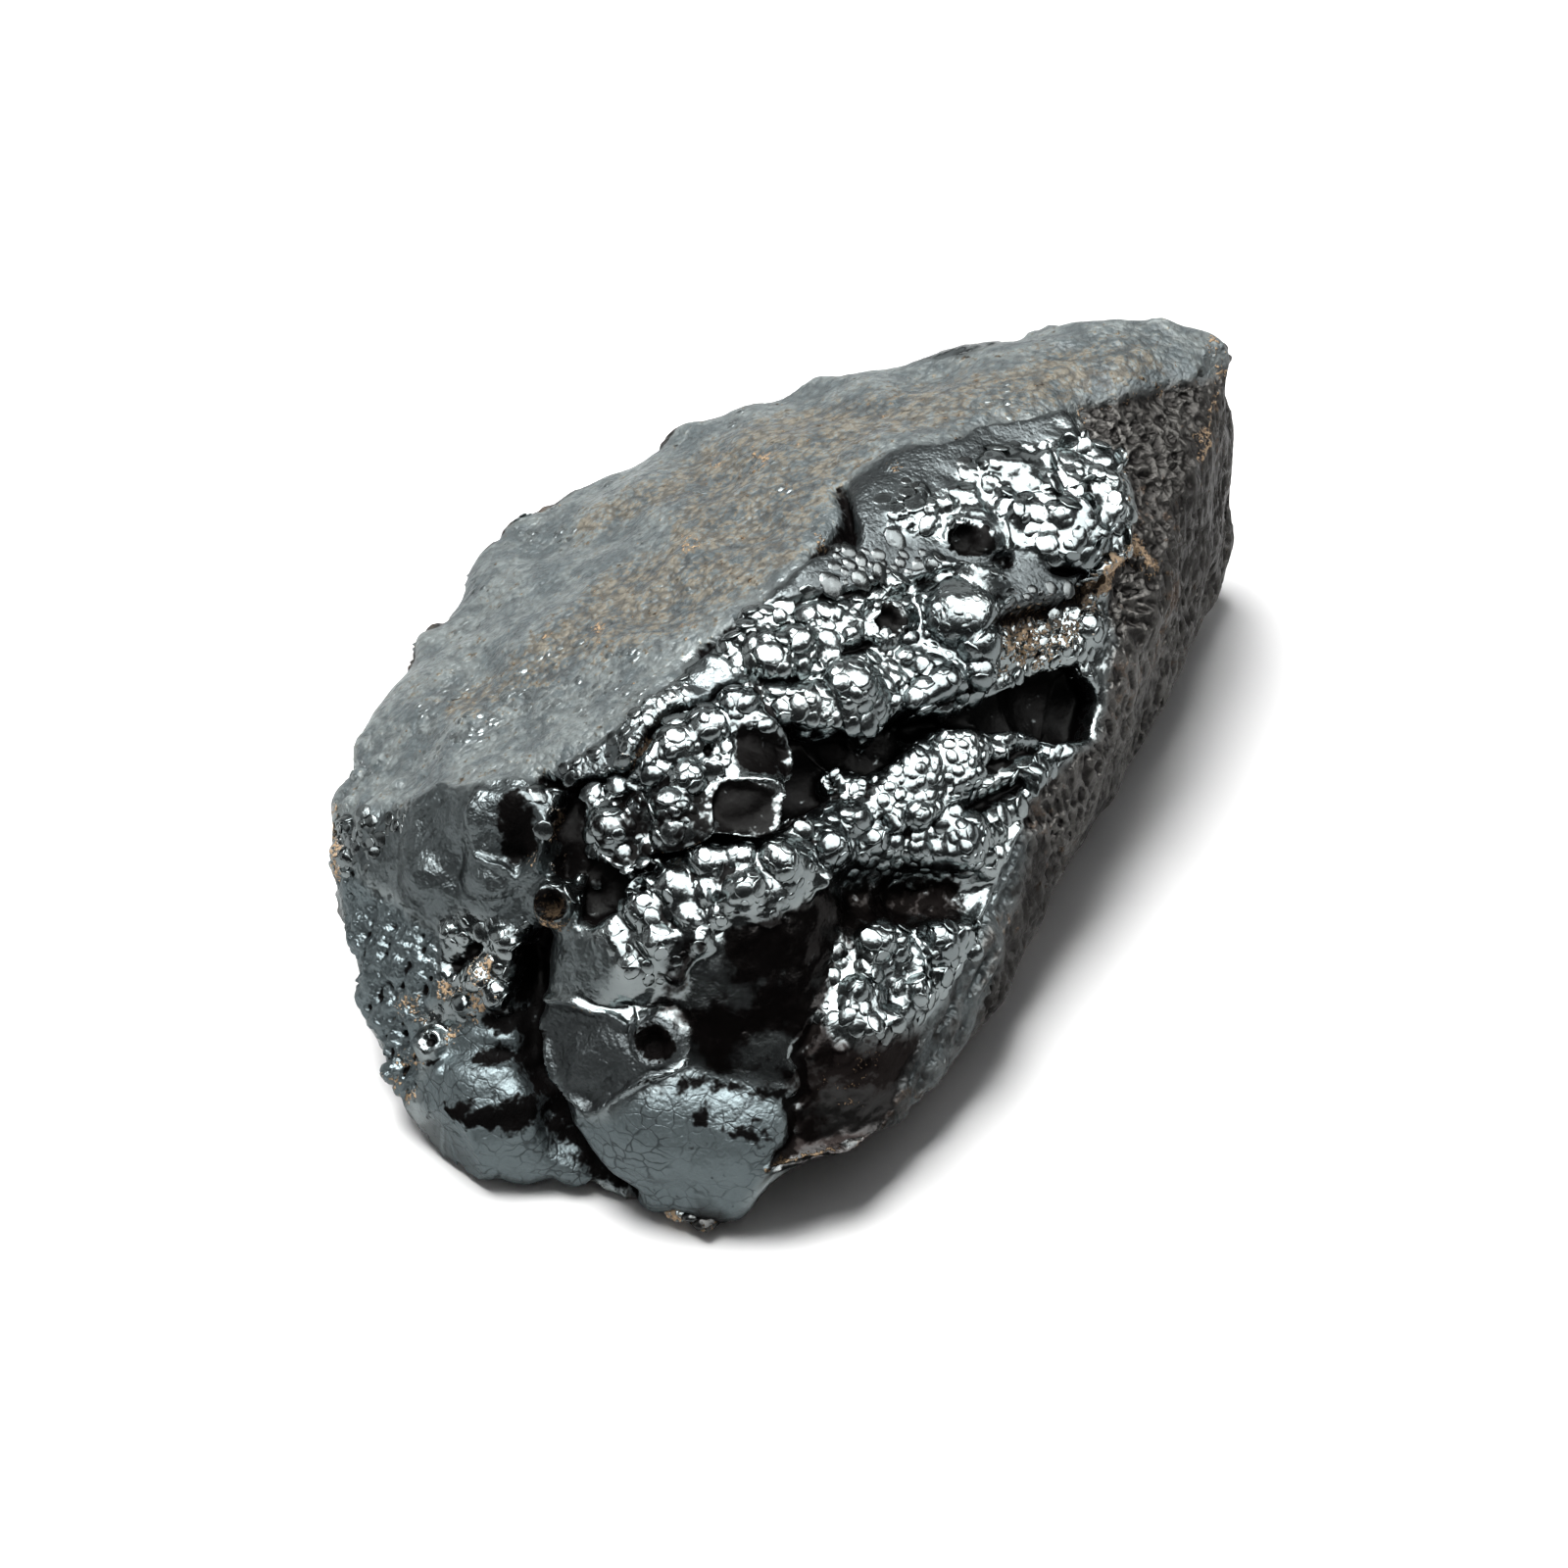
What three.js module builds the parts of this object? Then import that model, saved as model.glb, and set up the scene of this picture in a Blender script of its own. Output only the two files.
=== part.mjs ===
// A loose lump of kidney-ore hematite, lying on its flat underside. Millimetres, +Z up.
// +X runs along the long axis to the high far end, -Y is the side that carries the lumpy crust,
// and the origin is at the middle of the footprint, on the surface that the stone rests on.
import * as THREE from 'three';
import { ConvexGeometry } from 'three/addons/geometries/ConvexGeometry.js';
import { mergeVertices } from 'three/addons/utils/BufferGeometryUtils.js';

// Driving dimensions
const stoneLength = 83.5;
const stoneWidth = 53;
const stoneHeight = 30;
const edgeRounding = 0.5;   // how softly neighbouring faces of the stone run into each other
const skin = 0.6;           // crust outside the corners given below
const rippleHeight = 0.3;   // gentle unevenness of every face
const rippleLength = 4.6;   // from one rise to the next
const lumpSink = 0.3;       // how deep a lump sits, as a share of its radius
const lobeSink = 0.72;      // the same for the broad lobes
const hollowRise = 0.15;    // how far a hollow's centre lies above the surface
const blend = 0.35;         // how softly lumps and hollows run into the stone
const gridDetail = 21;      // steps along each edge of the twenty triangles that the grid starts from
const crustDetail = 0.5;     // how strongly the grid's points gather on the crust
const evenRounds = 250;     // times that the grid's points are moved to the middle of their neighbours

const middle = new THREE.Vector3(0, 0, stoneHeight * 0.42);
const coreShare = new THREE.Vector3(0.55, 0.3, 0);
const crustSide = new THREE.Vector3(-0.4, -0.62, 0.67);

// Corners of the stone, going round it
const ridge = [
  [-30.1, 6.6, 21], [-26.3, 0.3, 24], [-21.2, -2, 26.5], [-14.2, -3.1, 28.5],
  [-1.3, -2.4, 30], [6.6, -0.4, 30], [15.5, -2.3, 29], [24.6, -3.9, 28],
];
const farTop = [
  [33.9, 0.8, 25.9], [38.2, -5, 25.1], [37.2, -8.2, 24], [28.6, 4.5, 24.8], [24, 6.8, 23],
];
const backTopEdge = [
  [18.8, 15.2, 21.5], [10.1, 22.2, 18.5], [-1.4, 25.3, 16.5], [-6.2, 26.6, 15.5],
  [-11.8, 24.9, 15], [-20.7, 20.8, 14], [-28.1, 18.8, 14], [-31, 17.5, 13],
];
const backFoot = [
  [-28, 15, 2.5], [-19, 19.5, 0.8], [-6, 23.5, 0.6], [8, 19.5, 0.6], [21, 12, 1], [33, 3, 1.5],
];
const farEnd = [
  [42.2, -5.9, 15], [41.6, -6.7, 7], [38, -8.6, 2.5], [40.2, -1, 16], [39.3, -2, 5],
];
const crust = [
  [-14, -5.9, 24.8], [-17.8, -11.1, 20], [-21.9, -7.8, 20], [-26.7, -5.3, 21],
  [-31, -2.2, 18.5], [-33.3, 3.9, 16], [-32.8, 11.2, 17],
  [-8.4, -9.7, 25], [2.2, -8.3, 25.8], [10.8, -9.9, 24.7], [5.6, -14.5, 20],
  [-4.1, -13.9, 21], [-8.5, -17.8, 16.6], [-14.1, -14.7, 19.7], [-18.7, -18.9, 15],
  [-12.7, -21.5, 12], [-23.8, -16.5, 17.3], [-26.6, -12.2, 16.5], [-30.1, -8.4, 17.5],
];
const lowerCrust = [
  [-22.5, -22.3, 9], [-27.8, -20.1, 9.5], [-30.7, -15.8, 8.6], [-34, -11.9, 9.9],
  [-34.1, -5, 13.5], [-36.3, -6.9, 9], [-36.4, 1.2, 10.8], [-38.4, -0.3, 5.7],
  [-36, 7.8, 10.5], [-38.7, 4.6, 5.2],
];
const nearFoot = [
  [-33.6, 15.1, 12], [-36.1, 11.2, 8], [-39.2, 6.8, 5], [-42, 2.9, 3], [-42.2, -1.4, 1.5],
  [-40.6, -6.5, 0.6], [-39.2, -9.4, 0.6], [-36.6, -13.5, 0.8], [-34.4, -18.8, 0.5],
  [-32.3, -21.2, 1.2], [-29.1, -23.4, 4.5],
];
const brokenSide = [
  [23.6, -8.6, 23], [16.5, -12.2, 20.5], [7, -19.3, 16.5], [-0.6, -19.9, 14],
  [-8.1, -22.5, 10], [-15.2, -23.8, 7], [-24.8, -26.6, 4.5], [25.8, -12, 3.5],
  [8.8, -18.4, 4.5], [-1.1, -20.6, 5], [-9.1, -23, 5.2], [-14, -25, 3.8],
];
const underside = [
  [-34, -8, -0.8], [-32, 5, -0.8], [-15, -18, -0.8], [-12, 17, -0.8], [12, 10, -0.8],
  [14, -10, -0.8], [28, -4, -0.8],
];
const corners = [
  ridge, farTop, backTopEdge, backFoot, farEnd, crust, lowerCrust, nearFoot, brokenSide, underside,
].flat();

// Round lumps that stand out of the crust: a place on it (X, Y, Z) and a radius
const lumps = {
  besideRidge: [
    [-11.5, -5.5, 27, 1.6], [-9, -6, 27, 1.3], [-8.5, -10, 24.5, 1.7], [-11.5, -9, 25, 1.1],
    [2, -10, 24.5, 2.1], [2.5, -12, 22.5, 2], [6.5, -7, 26.5, 1.4], [-2.5, -8, 26, 1.3],
  ],
  farCluster: [
    [5, -3, 29, 1.2], [12, -5, 28, 1.2], [13, -6, 27, 1.4], [11, -8, 26, 1.1], [15.5, -7.5, 26, 1.4],
    [18, -8, 25.5, 1.3], [17.5, -10, 24, 1.4], [15.5, -9.5, 24.5, 1.4], [12.5, -9.5, 24.5, 1.4],
    [14, -12, 22.5, 1.2],
  ],
  rustyKnot: [[6.5, -13.5, 21, 1.1], [12, -15, 20, 1.3], [9, -15, 20, 1.2]],
  slab: [
    [-22, -4, 25, 1.9], [-19.5, -6, 25, 2.2], [-16, -7, 25.5, 1.9], [-21.5, -6.5, 23.5, 2],
    [-18, -8.5, 24, 2.1], [-20, -10, 22.5, 1.9], [-25.5, -5.5, 22, 1.7], [-23, -8, 22.5, 1.8],
  ],
  ledge: [[-3.5, -12.5, 22, 1.3], [0.5, -13, 21.5, 1.2], [-13, -12.5, 21.5, 1.3], [-11.5, -14, 20.5, 1.6]],
  beadedMound: [[-4, -14.5, 20, 2], [-7.5, -14.5, 20, 1.9], [-4.5, -16, 18, 1.7], [-9, -16, 18.5, 1.4]],
  terrace: [
    [-10.5, -16.5, 17.5, 1.2], [-7.5, -18, 17, 1.4], [-7, -19, 15.5, 1.8], [-13, -14.5, 19.5, 1.4],
    [-16.5, -15, 19, 1.5], [-3, -19, 15.5, 1.1], [0, -18.5, 16, 1.2],
  ],
  bulgeTop: [
    [-23, -11.5, 20.5, 1.8], [-20, -14, 19.5, 1.8], [-25.5, -10.5, 19.5, 1.5], [-22.5, -13.5, 19, 1.6],
    [-27.5, -10, 18.5, 1.5], [-28, -11.5, 17, 1.4], [-30, -10.5, 15, 1.2],
  ],
  lowerLobes: [
    [-16.5, -20, 13.5, 2], [-12.5, -21.5, 12, 1.8], [-15.5, -22.5, 10.5, 1.4], [-13.5, -23, 10, 1.2],
    [-19, -22, 11, 1.4], [-10, -22.5, 10.5, 1.1],
  ],
  nearBubbles: [
    [-29.5, 1, 20.5, 2.6], [-31.5, 1, 17, 1.9], [-30.5, -4, 17.5, 1.8], [-33, 5.5, 15.5, 2.4],
    [-31, -13.5, 11.5, 1.9], [-33.5, -10.5, 10, 2.6],
  ],
  nearEnd: [
    [-33.5, -2, 14.5, 1.4], [-35, -1.5, 11.5, 1.5], [-38.5, 0.5, 6.5, 1.8], [-40.5, 2.5, 4, 1.2],
    [-32.5, 12, 15.5, 1.5], [-31, 17, 13.5, 1.4], [-33.5, 13, 12, 1.3], [-36.5, 10, 9, 1.2],
    [-39.5, 6, 5.5, 1.2], [-27.5, 19, 14.5, 1.2],
  ],
  farTop: [[35, -2, 26, 1.7], [32, 0, 26, 1.6], [37.5, -5.5, 25, 1.2], [28, 1.5, 26.5, 1.2], [41, -5, 14, 1.2]],
  backEdge: [
    [9.5, 22, 18.5, 1.6], [-4, 26.5, 16, 1.7], [-9, 26.5, 15.5, 1.3], [-17, 24, 14.5, 1.5],
    [17.5, 16, 21, 1.8],
  ],
  back: [
    [2, 24, 12, 2.2], [-12, 23.5, 9, 2.6], [-22, 19.5, 7, 1.9], [13, 18, 10, 2.1], [23, 10, 13, 2.4],
    [32, 4, 9, 1.9], [-30, 15.5, 7, 1.7],
  ],
};

// Broad low lobes that the front swells into near the ground
const lobes = [[-37.5, -4, 5, 5], [-32.5, -14.5, 7, 6], [-29.5, -19, 6, 5.5], [-21, -21, 9, 5.5]];

// Hollows, grooves and broken bubbles: a place on the surface and a radius
const hollows = [
  [-15, -11.5, 22, 1.8], [-14.5, -10, 24, 1.1], [-11, -11, 23, 1.1], [-8, -12, 22.5, 1.1],
  [-5.5, -13.5, 21, 0.9], [-0.5, -15, 19.5, 1.3], [2.5, -16, 19, 1.7], [5.5, -16.5, 18.5, 2.1],
  [7, -18, 17, 1.8], [-13, -19, 15, 2.3], [-16.5, -17.5, 16.5, 2.2], [-33.5, -5, 12.5, 1],
  [-35, -6, 10, 1], [-36, -7.5, 8, 1], [-37, -8.5, 5.5, 1.1], [-37, -10, 3, 1.2],
  [-30, 0.5, 21, 1.2], [-30.5, 0, 18.5, 1], [0, -1.5, 29.5, 1], [7, -9, 25, 1],
  [12, -12, 22.5, 1.2], [-28.5, -7, 19, 1.3], [35, -7, 24.5, 1.1],
];

// The flat faces between the corners
function facesBetween(points) {
  const geometry = new ConvexGeometry(points.map((point) => new THREE.Vector3(...point)));
  const position = geometry.getAttribute('position');
  const triangle = new THREE.Triangle();
  const planes = [];
  for (let i = 0; i < position.count; i += 3) {
    triangle.setFromAttributeAndIndices(position, i, i + 1, i + 2);
    planes.push(triangle.getPlane(new THREE.Plane()));
  }
  return planes;
}

const faces = facesBetween(corners);
const distances = faces.map(() => 0);
const outward = new THREE.Vector3();

// Distance outside the faces, with the edges between them rounded over.
// The outward direction there is left in outward.
function blockField(point) {
  let most = -Infinity;
  faces.forEach((face, i) => {
    distances[i] = face.distanceToPoint(point);
    most = Math.max(most, distances[i]);
  });
  let sum = 0;
  outward.set(0, 0, 0);
  distances.forEach((distance, i) => {
    const below = (distance - most) / edgeRounding;
    if (below < -6) return;
    const share = Math.exp(below);
    sum += share;
    outward.addScaledVector(faces[i].normal, share);
  });
  outward.normalize();
  return most + edgeRounding * Math.log(sum) - skin;
}

// Waves that cross each face in many directions, each a little longer than the last
const waves = Array.from({ length: 9 }, (_, i) => {
  const height = 1 - (2 * i + 1) / 9;
  const turn = i * 2.4;
  const level = Math.sqrt(1 - height * height);
  const direction = new THREE.Vector3(level * Math.cos(turn), level * Math.sin(turn), height);
  return direction.multiplyScalar((2 * Math.PI) / (rippleLength * (1 + 0.17 * i)));
});

function ripple(point) {
  let sum = 0;
  waves.forEach((wave, i) => {
    sum += Math.sin(wave.dot(point) + i * i);
  });
  return (rippleHeight * sum) / 3;
}

function pullOntoBlock(point) {
  const distance = blockField(point);
  point.addScaledVector(outward, -distance);
}

// A ball whose centre lies the given depth under the surface, near the given place
function ballAt([x, y, z, radius], sink) {
  const centre = new THREE.Vector3(x, y, z);
  for (let i = 0; i < 3; i += 1) pullOntoBlock(centre);
  centre.addScaledVector(outward, -sink * radius);
  return new THREE.Sphere(centre, radius);
}

const lumpBalls = Object.values(lumps).flat().map((lump) => ballAt(lump, lumpSink));
const lobeBalls = lobes.map((lobe) => ballAt(lobe, lobeSink));
const hollowBalls = hollows.map((hollow) => ballAt(hollow, -hollowRise));

// The lower of two distances, with the crease between them filled a little
function softMin(a, b) {
  const near = Math.max(0, blend - Math.abs(a - b)) / blend;
  return Math.min(a, b) - (near * near * blend) / 4;
}

// Below zero inside the stone, above zero outside it. The rest face is the plane Z = 0.
function stoneField(point) {
  let field = blockField(point) - ripple(point);
  for (const ball of lobeBalls) field = softMin(field, ball.distanceToPoint(point));
  for (const ball of lumpBalls) field = softMin(field, ball.distanceToPoint(point));
  for (const ball of hollowBalls) field = -softMin(-field, ball.distanceToPoint(point));
  return Math.max(field, -point.z);
}

// How strongly the grid's points are drawn to a place: most on the crust, least opposite it
function fineness(point) {
  blockField(point);
  return Math.exp(crustDetail * outward.dot(crustSide));
}

// The points that each point of the grid is joined to
function neighboursOf(geometry) {
  const neighbours = Array.from({ length: geometry.getAttribute('position').count }, () => new Set());
  const index = geometry.getIndex();
  for (let i = 0; i < index.count; i += 3) {
    const corner = [index.getX(i), index.getX(i + 1), index.getX(i + 2)];
    corner.forEach((from, k) => neighbours[from].add(corner[(k + 1) % 3]).add(corner[(k + 2) % 3]));
  }
  return neighbours.map((set) => [...set]);
}

// A closed even grid on the block, finer on the crust
function evenGrid() {
  const ball = new THREE.IcosahedronGeometry(1, gridDetail);
  ball.deleteAttribute('normal');
  ball.deleteAttribute('uv');
  const geometry = mergeVertices(ball, 0.0001);
  const position = geometry.getAttribute('position');
  const half = new THREE.Vector3(stoneLength, stoneWidth, stoneHeight).multiplyScalar(0.5);
  const points = [];
  for (let i = 0; i < position.count; i += 1) {
    const point = new THREE.Vector3().fromBufferAttribute(position, i).multiply(half).add(middle);
    for (let step = 0; step < 4; step += 1) pullOntoBlock(point);
    points.push(point);
  }
  const neighbours = neighboursOf(geometry);
  for (let round = 0; round < evenRounds; round += 1) {
    const weights = points.map(fineness);
    const moved = points.map((point, i) => {
      const mean = new THREE.Vector3();
      let total = 0;
      for (const k of neighbours[i]) {
        mean.addScaledVector(points[k], weights[k]);
        total += weights[k];
      }
      mean.divideScalar(total);
      pullOntoBlock(mean);
      return mean;
    });
    moved.forEach((point, i) => points[i].copy(point));
  }
  return { geometry, points };
}

// The grid's points slid along straight lines from inside the stone, onto its lumpy surface.
// The result is then centred and brought to its exact length, width and height.
function stoneGeometry() {
  const { geometry, points } = evenGrid();
  const position = geometry.getAttribute('position');
  const core = new THREE.Vector3();
  const point = new THREE.Vector3();
  points.forEach((onBlock, i) => {
    core.copy(onBlock).sub(middle).multiply(coreShare).add(middle);
    const reach = core.distanceTo(onBlock);
    const direction = onBlock.clone().sub(core).normalize();
    let outside = reach + 5;
    let inside = 0;
    for (let along = outside; along > 0; along -= 0.25) {
      if (stoneField(point.copy(core).addScaledVector(direction, along)) < 0) {
        inside = along;
        break;
      }
      outside = along;
    }
    for (let step = 0; step < 10; step += 1) {
      const half = (inside + outside) / 2;
      if (stoneField(point.copy(core).addScaledVector(direction, half)) < 0) inside = half;
      else outside = half;
    }
    point.copy(core).addScaledVector(direction, inside);
    position.setXYZ(i, point.x, point.y, point.z);
  });
  const { min, max } = new THREE.Box3().setFromBufferAttribute(position);
  geometry.translate(-(min.x + max.x) / 2, -(min.y + max.y) / 2, -min.z);
  const scaleX = stoneLength / (max.x - min.x);
  const scaleY = stoneWidth / (max.y - min.y);
  const scaleZ = stoneHeight / (max.z - min.z);
  geometry.scale(scaleX, scaleY, scaleZ);
  return geometry;
}

const steelGrey = new THREE.MeshStandardMaterial({ color: 0x3b3a3d, roughness: 0.3, metalness: 0.7 });
const hematite = new THREE.Mesh(stoneGeometry(), steelGrey);
hematite.name = 'hematite';

const stone = new THREE.Group();
stone.add(hematite);

export default stone;
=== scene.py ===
import math
import random

import bpy
import numpy as np
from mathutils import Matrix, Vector
from mathutils.kdtree import KDTree


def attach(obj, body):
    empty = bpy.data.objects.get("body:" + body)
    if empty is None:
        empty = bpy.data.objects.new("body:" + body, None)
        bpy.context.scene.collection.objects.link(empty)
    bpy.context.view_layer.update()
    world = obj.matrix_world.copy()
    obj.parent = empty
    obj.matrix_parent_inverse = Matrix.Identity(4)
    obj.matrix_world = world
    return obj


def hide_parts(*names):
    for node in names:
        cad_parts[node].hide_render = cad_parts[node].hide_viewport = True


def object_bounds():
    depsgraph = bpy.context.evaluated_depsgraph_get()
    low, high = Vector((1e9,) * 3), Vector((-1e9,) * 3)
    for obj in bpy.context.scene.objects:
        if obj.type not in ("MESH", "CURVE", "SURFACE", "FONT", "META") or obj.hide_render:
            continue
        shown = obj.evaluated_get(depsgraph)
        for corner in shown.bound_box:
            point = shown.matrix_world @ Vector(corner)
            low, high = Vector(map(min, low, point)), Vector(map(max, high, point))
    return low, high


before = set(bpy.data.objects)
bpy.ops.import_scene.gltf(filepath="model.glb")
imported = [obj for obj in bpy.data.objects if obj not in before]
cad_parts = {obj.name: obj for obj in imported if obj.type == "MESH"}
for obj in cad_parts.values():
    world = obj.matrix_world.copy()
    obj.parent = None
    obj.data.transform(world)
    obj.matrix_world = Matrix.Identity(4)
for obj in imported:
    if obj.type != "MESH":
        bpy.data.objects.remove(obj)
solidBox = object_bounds()
bpy.ops.object.select_all(action="DESELECT")
mm = 0.001
print("stage: frame loaded, corners in mm", [round(x / mm, 1) for corner in solidBox for x in corner])

# the camera: where it stands around the stone, in degrees and millimetres
view = {"azimuth": -48, "elevation": 45, "distance": 257, "target": (-9.3, -5.1, 13), "lens": 85,
        "sensor": 36}
imageSide = 1600


def makeCamera():
    turn, lift = math.radians(view["azimuth"]), math.radians(view["elevation"])
    back = Vector((math.sin(turn) * math.cos(lift), -math.cos(turn) * math.cos(lift), math.sin(lift)))
    place = (Vector(view["target"]) + back * view["distance"]) * mm
    bpy.ops.object.camera_add(location=place, rotation=back.to_track_quat("Z", "Y").to_euler())
    camera = bpy.context.object
    camera.name = "viewCamera"
    camera.data.lens = view["lens"]
    camera.data.sensor_width = view["sensor"]
    camera.data.clip_start = 0.01
    bpy.context.scene.camera = camera
    bpy.context.view_layer.update()
    return camera


camera = makeCamera()
cameraPlace = np.array(camera.location) / mm
cameraAxes = np.array(camera.matrix_world.to_3x3())
pixelsPerSlope = imageSide * view["lens"] / view["sensor"]


def toPixels(points):
    # where points in millimetres fall in the image, and how far from the camera they are
    seen = (points - cameraPlace) @ cameraAxes
    depth = -seen[:, 2]
    across = imageSide / 2 + pixelsPerSlope * seen[:, 0] / depth
    down = imageSide / 2 - pixelsPerSlope * seen[:, 1] / depth
    return np.stack([across, down], axis=1), depth


def selectOnly(piece):
    bpy.ops.object.select_all(action="DESELECT")
    piece.select_set(True)
    bpy.context.view_layer.objects.active = piece


def applyModifier(piece, kind, **settings):
    selectOnly(piece)
    modifier = piece.modifiers.new(kind.lower(), kind)
    for name, value in settings.items():
        setattr(modifier, name, value)
    bpy.ops.object.modifier_apply(modifier=modifier.name)


# the stone's body, worked out from the solid: sizes in millimetres
bodyShape = {"merge": 0.01, "voxel": 0.5, "evenRounds": 8, "triangles": 190000}
grazing = 0.04  # the least that a point has to face the camera to be seen


def stoneBody():
    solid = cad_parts["hematite"]
    stone = bpy.data.objects.new("kidneyOreStone", solid.data.copy())
    bpy.context.scene.collection.objects.link(stone)
    selectOnly(stone)
    bpy.ops.object.mode_set(mode="EDIT")
    bpy.ops.mesh.select_all(action="SELECT")
    bpy.ops.mesh.remove_doubles(threshold=bodyShape["merge"] * mm)
    bpy.ops.object.mode_set(mode="OBJECT")
    applyModifier(stone, "REMESH", mode="VOXEL", voxel_size=bodyShape["voxel"] * mm)
    applyModifier(stone, "SMOOTH", factor=0.5, iterations=bodyShape["evenRounds"])
    applyModifier(stone, "SUBSURF", levels=1, render_levels=1)
    return stone


def readPoints(piece):
    # places in millimetres and normals
    found = np.zeros((2, len(piece.data.vertices) * 3))
    piece.data.vertices.foreach_get("co", found[0])
    piece.data.vertices.foreach_get("normal", found[1])
    return found[0].reshape(-1, 3) / mm, found[1].reshape(-1, 3)


def writePoints(piece, points):
    piece.data.vertices.foreach_set("co", (points * mm).ravel())
    piece.data.update()


stone = stoneBody()
points, normals = readPoints(stone)
edges = np.zeros(len(stone.data.edges) * 2, np.int64)
stone.data.edges.foreach_get("vertices", edges)
edges = edges.reshape(-1, 2)
pixels, depth = toPixels(points)
toCamera = cameraPlace - points
toCamera /= np.linalg.norm(toCamera, axis=1)[:, None]
facing = (toCamera * normals).sum(axis=1)
seen = facing > grazing
print("stage: body,", len(stone.data.polygons), "faces")


def spread(values, rounds):
    # each point of the body takes the mean of its neighbours, again and again
    starts = np.concatenate([edges[:, 0], edges[:, 1]])
    ends = np.concatenate([edges[:, 1], edges[:, 0]])
    neighbours = np.maximum(np.bincount(starts, minlength=len(values)), 1)
    for _ in range(rounds):
        values = np.bincount(starts, weights=values[ends], minlength=len(values)) / neighbours
    return values


# noise that is the same on every run: random numbers come from the cell's own place
def cellRandom(cells, seed):
    mixed = cells[:, 0] * 374761393 + cells[:, 1] * 668265263 + cells[:, 2] * 1274126177 + seed * 974634777
    mixed = mixed & 0xFFFFFFFF
    mixed = ((mixed ^ (mixed >> 13)) * 1103515245) & 0xFFFFFFFF
    mixed = ((mixed ^ (mixed >> 16)) * 69069) & 0xFFFFFFFF
    return (mixed ^ (mixed >> 15)) / 0xFFFFFFFF


def waveNoise(places, size, seed):
    # smooth noise from -1 to 1, with hills about one size across
    scaled = places / size
    low = np.floor(scaled).astype(np.int64)
    part = scaled - low
    part = part * part * (3 - 2 * part)
    total = np.zeros(len(places))
    for i in (0, 1):
        for j in (0, 1):
            for k in (0, 1):
                weight = np.abs(1 - i - part[:, 0]) * np.abs(1 - j - part[:, 1]) * np.abs(1 - k - part[:, 2])
                total += weight * cellRandom(low + (i, j, k), seed)
    return total * 2 - 1


def pushes(places, size, seed, ways=3):
    # smooth noise for each direction on its own
    return np.stack([waveNoise(places, size, seed + n) for n in range(ways)], axis=1)


def cellNoise(places, size, seed):
    # distances to the nearest and second nearest of points scattered one to a cell, as shares of a cell
    scaled = places / size
    low = np.floor(scaled).astype(np.int64)
    first = np.full(len(places), 9.0)
    second = np.full(len(places), 9.0)
    for i in (-1, 0, 1):
        for j in (-1, 0, 1):
            for k in (-1, 0, 1):
                cell = low + (i, j, k)
                offset = np.stack([cellRandom(cell, seed + n) for n in range(3)], axis=1)
                distance = np.linalg.norm(cell + offset - scaled, axis=1)
                second = np.minimum(second, np.maximum(first, distance))
                first = np.minimum(first, distance)
    return first, second


def smoothStep(low, high, value):
    share = np.clip((value - low) / (high - low), 0, 1)
    return share * share * (3 - 2 * share)


def lineDistance(line, closed=False):
    # pixels from each point of the body to a line through the given corners
    wobbly = pixels + wobble
    best = np.full(len(points), 1e6)
    corners = [np.array(corner, float) for corner in line]
    ends = zip(corners, corners[1:] + corners[:1]) if closed else zip(corners[:-1], corners[1:])
    for start, end in ends:
        along = end - start
        share = np.clip(((wobbly - start) @ along) / (along @ along), 0, 1)
        best = np.minimum(best, np.linalg.norm(wobbly - start - share[:, None] * along, axis=1))
    return best


def insideShare(outline, soft):
    # 1 inside an outline given in pixels, 0 outside it and on the sides that face away
    wobbly = pixels + wobble
    inside = np.zeros(len(points), bool)
    corners = outline + outline[:1]
    for (ax, ay), (bx, by) in zip(corners[:-1], corners[1:]):
        crosses = (ay > wobbly[:, 1]) != (by > wobbly[:, 1])
        reach = ax + (wobbly[:, 1] - ay) * (bx - ax) / (by - ay if by != ay else 1)
        inside ^= crosses & (wobbly[:, 0] < reach)
    distance = lineDistance(outline, closed=True) * np.where(inside, 1, -1)
    return smoothStep(-soft, soft, distance) * seen


def strongest(parts):
    # the largest of several stretches: outline, softness in pixels and amount
    return np.maximum.reduce([amount * insideShare(outline, soft) for outline, soft, amount in parts])


def nearLine(line, width):
    # 1 on a line, falling away over its width
    return np.exp(-(lineDistance(line) / width) ** 2) * seen


def swell(across, down, radius):
    # 1 in the middle of a round stretch and 0 at its edge
    gone = np.linalg.norm(pixels - (across, down), axis=1) / radius
    return np.clip(1 - gone ** 2, 0, 1) * seen


# how far outlines wander, in pixels
wobble = pushes(points, 2.2, 11, 2) * 5 + pushes(points, 0.9, 13, 2) * 2.5

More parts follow.
